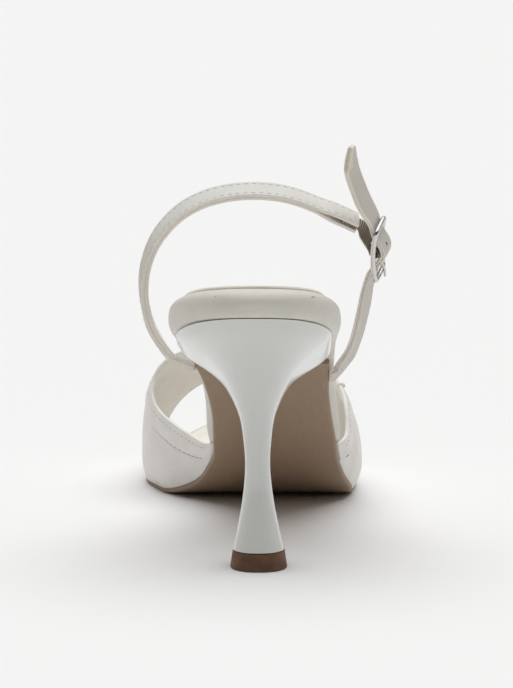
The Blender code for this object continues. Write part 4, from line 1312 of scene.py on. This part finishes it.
# Values between which most of a noise pattern lies
NOISE_LOW = 0.3
NOISE_HIGH = 0.7
# Scales that draw a pattern out along the shoe, or upward
SOLE_FIBRES = (1.0, 0.16, 0.3)
SCRATCHES = (1.0, 1.0, 0.12)
# Leather: its tones by value, the size of a pore beside the grain, and how uneven its gloss is
LEATHER_TONES = ((0.3, 0.955), (0.52, 1.0), (0.75, 1.03))
PORE_SIZE = 0.4
GLOSSIER = 0.06
DULLER = 0.08
# Fine threads: the size of the pattern in millimetres, its tones by value, and the depth of its relief
Fibre = namedtuple("Fibre", "roughness size detail tones depth")
CUT_FIBRE = Fibre(0.75, 0.35, 6.0, ((0.3, 0.78), (0.55, 1.0), (0.75, 1.15)), 0.12)
WOVEN_FIBRE = Fibre(0.85, 0.28, 4.0, ((0.3, 0.5), (0.5, 1.0), (0.75, 1.4)), 0.12)
TWISTED_FIBRE = Fibre(0.7, 0.16, 2.0, ((0.3, 0.8), (0.7, 1.0)), 0.05)
# Sockets of the node that mixes two colours
MIX_ONE = 6
MIX_OTHER = 7
MIX_RESULT = 2


def wire(tree, value, socket):
    """Link a node's output to a socket, or set the socket to a constant."""
    if isinstance(value, bpy.types.NodeSocket):
        tree.links.new(value, socket)
    else:
        socket.default_value = value


def add_node(tree, kind, **inputs):
    """New shader node with its inputs wired by name."""
    node = tree.nodes.new("ShaderNode" + kind)
    for name, value in inputs.items():
        wire(tree, value, node.inputs[name.replace("_", " ")])
    return node


def add_range(tree, value, low, high, low_result=0.0, high_result=1.0, smooth=False):
    """Turn a value between low and high into one between two results."""
    node = add_node(
        tree, "MapRange", Value=value, From_Min=low, From_Max=high, To_Min=low_result, To_Max=high_result,
    )
    if smooth:
        node.interpolation_type = "SMOOTHSTEP"
    return node.outputs["Result"]


def add_mix(tree, amount, one, other, mode="MIX"):
    """Blend of two colours."""
    node = add_node(tree, "Mix")
    node.data_type = "RGBA"
    node.blend_type = mode
    wire(tree, amount, node.inputs["Factor"])
    wire(tree, one, node.inputs[MIX_ONE])
    wire(tree, other, node.inputs[MIX_OTHER])
    return node.outputs[MIX_RESULT]


def shaded(colour, factor):
    return tuple(min(value * factor, 1.0) for value in colour)


class Look:
    """Material with a Principled shader, and the patterns that go into it."""

    def __init__(self, name, roughness, metallic=0.0):
        self.material = bpy.data.materials.new(name)
        self.material.use_nodes = True
        self.tree = self.material.node_tree
        self.shader = self.tree.nodes["Principled BSDF"]
        self.place = add_node(self.tree, "TexCoord").outputs["Object"]
        self.set(Roughness=roughness, Metallic=metallic)

    def set(self, **values):
        for name, value in values.items():
            wire(self.tree, value, self.shader.inputs[name.replace("_", " ")])

    def noise(self, size, detail=3.0, scale=None):
        """Noise with blobs of about size millimetres, drawn out along axes whose scale is below 1."""
        place = self.place
        if scale:
            place = add_node(self.tree, "Mapping", Vector=place, Scale=scale).outputs["Vector"]
        node = add_node(self.tree, "TexNoise", Vector=place, Scale=1 / (size * MM), Detail=detail)
        return node.outputs["Fac"]

    def cells(self, size):
        """Distance to the middle of cells of about size millimetres."""
        node = add_node(self.tree, "TexVoronoi", Vector=self.place, Scale=1 / (size * MM))
        return node.outputs["Distance"]

    def height(self, low, high):
        """Share of the way up from one height to another, in millimetres."""
        up = add_node(self.tree, "SeparateXYZ", Vector=self.place).outputs["Z"]
        return add_range(self.tree, up, low * MM, high * MM, smooth=True)

    def blot(self, middle, reach):
        """Share of a soft-edged spot, from its middle and its reach along x, y and z in millimetres."""
        spot = add_node(
            self.tree, "Mapping", Vector=self.place, Scale=[1 / (size * MM) for size in reach],
            Location=[-a / b for a, b in zip(np.array(middle) - ORIGIN, reach)],
        )
        far = add_node(self.tree, "VectorMath", Vector=spot.outputs["Vector"])
        far.operation = "LENGTH"
        return add_range(self.tree, far.outputs["Value"], 1.0, SPOT_CORE)

    def colours(self, value, stops):
        """Colour ramp over a value: stops are (place, colour)."""
        node = add_node(self.tree, "ValToRGB", Fac=value)
        elements = node.color_ramp.elements
        while len(elements) < len(stops):
            elements.new(0.5)
        for element, (place, colour) in zip(elements, stops):
            element.position = place
            element.color = (*colour, 1.0)
        return node.outputs["Color"]

    def tones(self, value, colour, *stops):
        """Lighter and darker tones of a colour over a value: stops are (place, brightness)."""
        return self.colours(value, [(place, shaded(colour, factor)) for place, factor in stops])

    def uneven(self, pattern, low, high):
        """Value that follows a noise pattern from low to high."""
        return add_range(self.tree, pattern, NOISE_LOW, NOISE_HIGH, low, high)

    def sum(self, one, other, share):
        """One value plus a share of another."""
        node = add_node(self.tree, "Math")
        node.operation = "MULTIPLY_ADD"
        for socket, value in zip(node.inputs, (other, share, one)):
            wire(self.tree, value, socket)
        return node.outputs["Value"]

    def finish(self, tone, relief, depth, **values):
        """The material with its tone, a relief of about depth millimetres and other shader values."""
        bump = add_node(self.tree, "Bump", Height=relief, Distance=depth * MM)
        self.set(Base_Color=tone, Normal=bump.outputs["Normal"], **values)
        return self.material


def leather_look(name, colour, roughness=0.5, grain=0.55, depth=0.035, nap=0.0, painted_shade_below=None, scuffs=()):
    """Smooth leather: soft mottle, pebble grain with finer pores, and uneven sheen or a pale nap.

    Painted shade darkens the leather below the second of two given heights, fully below the first.
    """
    look = Look(name, roughness)
    tone = look.tones(look.noise(size=7.0, detail=4.0), colour, *LEATHER_TONES)
    # Painted shade: the leather is darker and warmer towards the bottom
    if painted_shade_below:
        painted_shade_tint = add_mix(look.tree, look.height(*painted_shade_below), LOW_PAINTED_SHADE_TINT, UNTINTED)
        tone = add_mix(look.tree, 1.0, tone, painted_shade_tint, "MULTIPLY")
    for scuff in scuffs:
        tone = add_mix(look.tree, look.blot(*scuff), tone, SCUFF_TINT)
    relief = look.sum(look.cells(grain), look.noise(grain * PORE_SIZE, detail=5.0), share=0.5)
    gloss = look.uneven(look.noise(size=2.2), roughness - GLOSSIER, roughness + DULLER)
    return look.finish(tone, relief, depth, Roughness=gloss, Sheen_Weight=nap, Sheen_Roughness=0.4)


def fibre_look(name, colour, fibre):
    """Cut edge, woven band or thread: one fine pattern both tints it and gives its relief."""
    look = Look(name, fibre.roughness)
    pattern = look.noise(fibre.size, fibre.detail)
    return look.finish(look.tones(pattern, colour, *fibre.tones), pattern, fibre.depth)


def lacquer_look():
    """Glossy cool white coat with a faint ripple."""
    look = Look("white_lacquer", roughness=0.16)
    tone = look.tones(look.noise(size=14.0, detail=2.0), LACQUER, (0.3, 0.985), (0.7, 1.0))
    gloss = look.uneven(look.noise(size=1.4), low=0.14, high=0.2)
    ripple = look.noise(size=9.0, detail=1.0)
    return look.finish(tone, ripple, depth=0.03, Roughness=gloss, Coat_Weight=0.35, Coat_Roughness=0.1)


def sole_look():
    """Satin sole board: fibres drawn out along the shoe under a faint cloud."""
    look = Look("taupe_sole", roughness=0.55)
    fibres = look.noise(size=1.2, detail=6.0, scale=SOLE_FIBRES)
    cloud = look.noise(size=11.0)
    tone = look.tones(look.sum(fibres, cloud, share=0.6), TAUPE, (0.55, 0.95), (0.8, 1.0), (1.0, 1.05))
    relief = look.sum(fibres, look.noise(size=0.3, detail=4.0), share=0.6)
    return look.finish(tone, relief, depth=0.02, Roughness=look.uneven(cloud, low=0.48, high=0.58))


def tip_look():
    """Matt red-brown top piece with fine speckles."""
    look = Look("brown_tip", roughness=0.6)
    speckle = look.noise(size=0.5, detail=4.0)
    cloud = look.noise(size=3.5, detail=2.0)
    stops = ((0.5, shaded(TIP_BROWN, 0.75)), (0.75, TIP_BROWN), (1.0, TIP_PALE))
    tone = look.colours(look.sum(cloud, speckle, share=0.5), stops)
    return look.finish(tone, speckle, depth=0.05, Roughness=look.uneven(speckle, low=0.5, high=0.68))


def nickel_look():
    """Polished nickel with hairline scratches."""
    look = Look("nickel", roughness=0.2, metallic=1.0)
    scratches = look.noise(size=0.5, detail=6.0, scale=SCRATCHES)
    tone = look.tones(look.noise(size=1.5), NICKEL, (0.3, 0.88), (0.7, 1.0))
    return look.finish(tone, scratches, depth=0.01, Roughness=look.uneven(scratches, low=0.12, high=0.28))


def floor_look():
    """Pale studio paper without a shine."""
    look = Look("floor_paper", roughness=0.9)
    tone = look.tones(look.noise(size=400.0, detail=2.0), PAPER, (0.3, 0.998), (0.7, 1.0))
    look.set(Base_Color=tone, Specular_IOR_Level=0.0)
    return look.material


# Pieces

def add_object(name, data):
    thing = bpy.data.objects.new(name, data)
    bpy.context.collection.objects.link(thing)
    return thing


def skin_mesh(name, skin):
    """Mesh of a skin in millimetres, with doubled points joined and faces turned outward."""
    mesh = bpy.data.meshes.new(name)
    mesh.from_pydata(((np.array(skin.points) - ORIGIN) * MM).tolist(), [], skin.faces)
    mesh.polygons.foreach_set("material_index", skin.looks)
    work = bmesh.new()
    work.from_mesh(mesh)
    bmesh.ops.remove_doubles(work, verts=work.verts, dist=WELD)
    bmesh.ops.recalc_face_normals(work, faces=work.faces)
    work.to_mesh(mesh)
    work.free()
    return mesh


def add_piece(name, skin, looks, node=None):
    """One piece of the shoe."""
    mesh = skin_mesh(name, skin)
    mesh.shade_smooth()
    mesh.set_sharp_from_angle(angle=SHARP_ANGLE)
    for look in looks:
        mesh.materials.append(look)
    piece = add_object(name, mesh)
    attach(piece, "root")
    if node:
        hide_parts(node)
    return piece


def cut(piece, skin):
    """Take a skin's body out of a piece."""
    mesh = skin_mesh("cutter", skin)
    cutter = add_object("cutter", mesh)
    difference = piece.modifiers.new("hole", "BOOLEAN")
    difference.operation = "DIFFERENCE"
    difference.solver = "EXACT"
    difference.object = cutter
    view = bpy.context.evaluated_depsgraph_get()
    opened = bpy.data.meshes.new_from_object(piece.evaluated_get(view))
    piece.modifiers.clear()
    whole = piece.data
    piece.data = opened
    bpy.data.meshes.remove(whole)
    opened.name = piece.name
    opened.set_sharp_from_angle(angle=SHARP_ANGLE)
    bpy.data.objects.remove(cutter)
    bpy.data.meshes.remove(mesh)


def dress():
    """All pieces of the shoe with their looks."""
    # Sling strap leather, with painted shade over its lower part
    leather = leather_look("cream_leather", CREAM, painted_shade_below=SLING_PAINTED_SHADE_HEIGHTS)
    # Vamp leather with painted light
    upper_painted_light = leather_look("upper_leather_painted_light", UPPER_PAINTED_LIGHT)
    wrap = leather_look("wrap_leather", WRAP, scuffs=HEEL_SCUFFS)
    # Buckle strap leather with painted shade
    tail_painted_shade = leather_look("tail_leather_painted_shade", TAIL_CREAM_PAINTED_SHADE)
    # Lining with painted light; it also dresses the straps' backs and the lining stitches
    lining = leather_look("lining_leather_painted_light", LINING_PAINTED_LIGHT, roughness=0.6, grain=0.4, depth=0.025, nap=1.0)
    sock = leather_look("sock_leather", SOCK_CREAM, roughness=0.58, grain=0.45, depth=0.025)
    # Edges of the straps and sock, lightened with painted light
    folded_edge_painted_light = leather_look("folded_edge_painted_light", FOLDED_EDGE_PAINTED_LIGHT, roughness=0.55, grain=0.4, depth=0.03)
    nickel = nickel_look()
    tan = fibre_look("tan_thread", TAN_THREAD, TWISTED_FIBRE)
    dark = fibre_look("seam_thread", SEAM_THREAD, TWISTED_FIBRE)
    pale = fibre_look("pale_thread", PALE_THREAD, TWISTED_FIBRE)
    white = fibre_look("white_thread", WHITE_THREAD, TWISTED_FIBRE)
    raw_edge = fibre_look("cut_edge", RAW_EDGE, CUT_FIBRE)
    crest = fibre_look("ribbed_elastic", ELASTIC_CREST, WOVEN_FIBRE)
    # Painted shade for the elastic's valleys
    valley = fibre_look("elastic_valley_painted_shade", ELASTIC_VALLEY_PAINTED_SHADE, WOVEN_FIBRE)

    add_piece("outsole_board", outsole_skin(), [sole_look()], "outsole")
    add_piece("wrapped_footbed", footbed_skin(), [wrap], "footbed")
    add_piece("sock_liner", sock_skin(), [sock, folded_edge_painted_light], "sock")
    add_piece("lacquered_heel", heel_skin(), [lacquer_look()], "heel")
    add_piece("top_piece", heel_tip_skin(), [tip_look()], "heel_tip")
    add_piece("vamp_upper", vamp_skin(), [upper_painted_light, lining], "vamp")
    add_piece("rim_thread", rim_stitches(), [tan])
    add_piece("seam_thread", seam_stitches(), [dark])
    sling_looks = [leather, folded_edge_painted_light, lining]
    add_piece("sling_leather", sling_skin(), sling_looks, "sling_strap")
    add_piece("sling_thread", sling_stitches(), [pale])
    add_piece("sling_end_thread", sling_end_stitches(), [white])
    add_piece("lining_thread", lining_stitches(), [lining])
    add_piece("rim_tab", rim_tab(), [upper_painted_light])
    tail_looks = [tail_painted_shade, folded_edge_painted_light, lining, raw_edge]
    strap_skin = buckle_strap_skin()
    strap = add_piece("buckle_strap_leather", strap_skin, tail_looks, "buckle_strap")
    cut(strap, prong_hole_skin())
    cut(strap, strap_hole_skin())
    elastic = add_piece("elastic_band", elastic_skin(), [crest, valley], "elastic_tab")
    cut(elastic, prong_slot_skin())
    add_piece("buckle_bars", buckle_frame_skin(), [nickel], "buckle_frame")
    add_piece("prong", prong_skin(), [nickel], "buckle_prong")


# Stage

CAMERA_PLACE = (-0.0017, -1.2847, 0.2632)
CAMERA_DOWN = math.radians(9.0)
PHOTO_HEIGHT = 688
FOCAL_PIXELS = 3668
SENSOR = 36.0
HALF_PIXEL = 0.5
FLOOR_HALF = 12.0
SKY_BEHIND_CAMERA = (0.05, 0.04, 0.03, 1.0)
SKY_AROUND = (0.72, 0.72, 0.72, 1.0)
SKY_FADE = (-0.8, 0.45)
SKY_HORIZON = 0.5
SUN = 1.98
SUN_TILT = (math.radians(-4), math.radians(2), 0.0)
SUN_SPREAD = math.radians(80)


def add_floor():
    mesh = bpy.data.meshes.new("floor")
    corners = [(-1, -1), (1, -1), (1, 1), (-1, 1)]
    mesh.from_pydata([(x * FLOOR_HALF, y * FLOOR_HALF, 0.0) for x, y in corners], [], [(0, 1, 2, 3)])
    mesh.materials.append(floor_look())
    floor = add_object("floor", mesh)


def add_light():
    """Pale sky that is dark behind the photograph's camera, and one wide lamp overhead."""
    world = bpy.data.worlds.new("studio")
    world.use_nodes = True
    tree = world.node_tree
    sky = tree.nodes["Background"]
    way = add_node(tree, "SeparateXYZ", Vector=add_node(tree, "TexCoord").outputs["Generated"])
    ahead = add_range(tree, way.outputs["Y"], *SKY_FADE, smooth=True)
    wire(tree, add_mix(tree, ahead, SKY_BEHIND_CAMERA, SKY_AROUND), sky.inputs["Color"])
    lift = add_range(tree, way.outputs["Z"], 0.0, 1.0, low_result=SKY_HORIZON)
    wire(tree, lift, sky.inputs["Strength"])
    bpy.context.scene.world = world
    lamp = bpy.data.lights.new("overhead", "SUN")
    lamp.energy = SUN
    lamp.angle = SUN_SPREAD
    add_object("overhead", lamp).rotation_euler = SUN_TILT


def add_camera():
    lens = bpy.data.cameras.new("camera")
    lens.sensor_fit = "VERTICAL"
    lens.sensor_height = SENSOR
    lens.lens = FOCAL_PIXELS * SENSOR / PHOTO_HEIGHT
    lens.shift_x = HALF_PIXEL / PHOTO_HEIGHT
    camera = add_object("camera", lens)
    camera.location = CAMERA_PLACE
    camera.rotation_euler = (math.pi / 2 - CAMERA_DOWN, 0.0, 0.0)
    bpy.context.scene.camera = camera


dress()
add_floor()
add_light()
add_camera()
bpy.context.scene.view_settings.view_transform = "Standard"
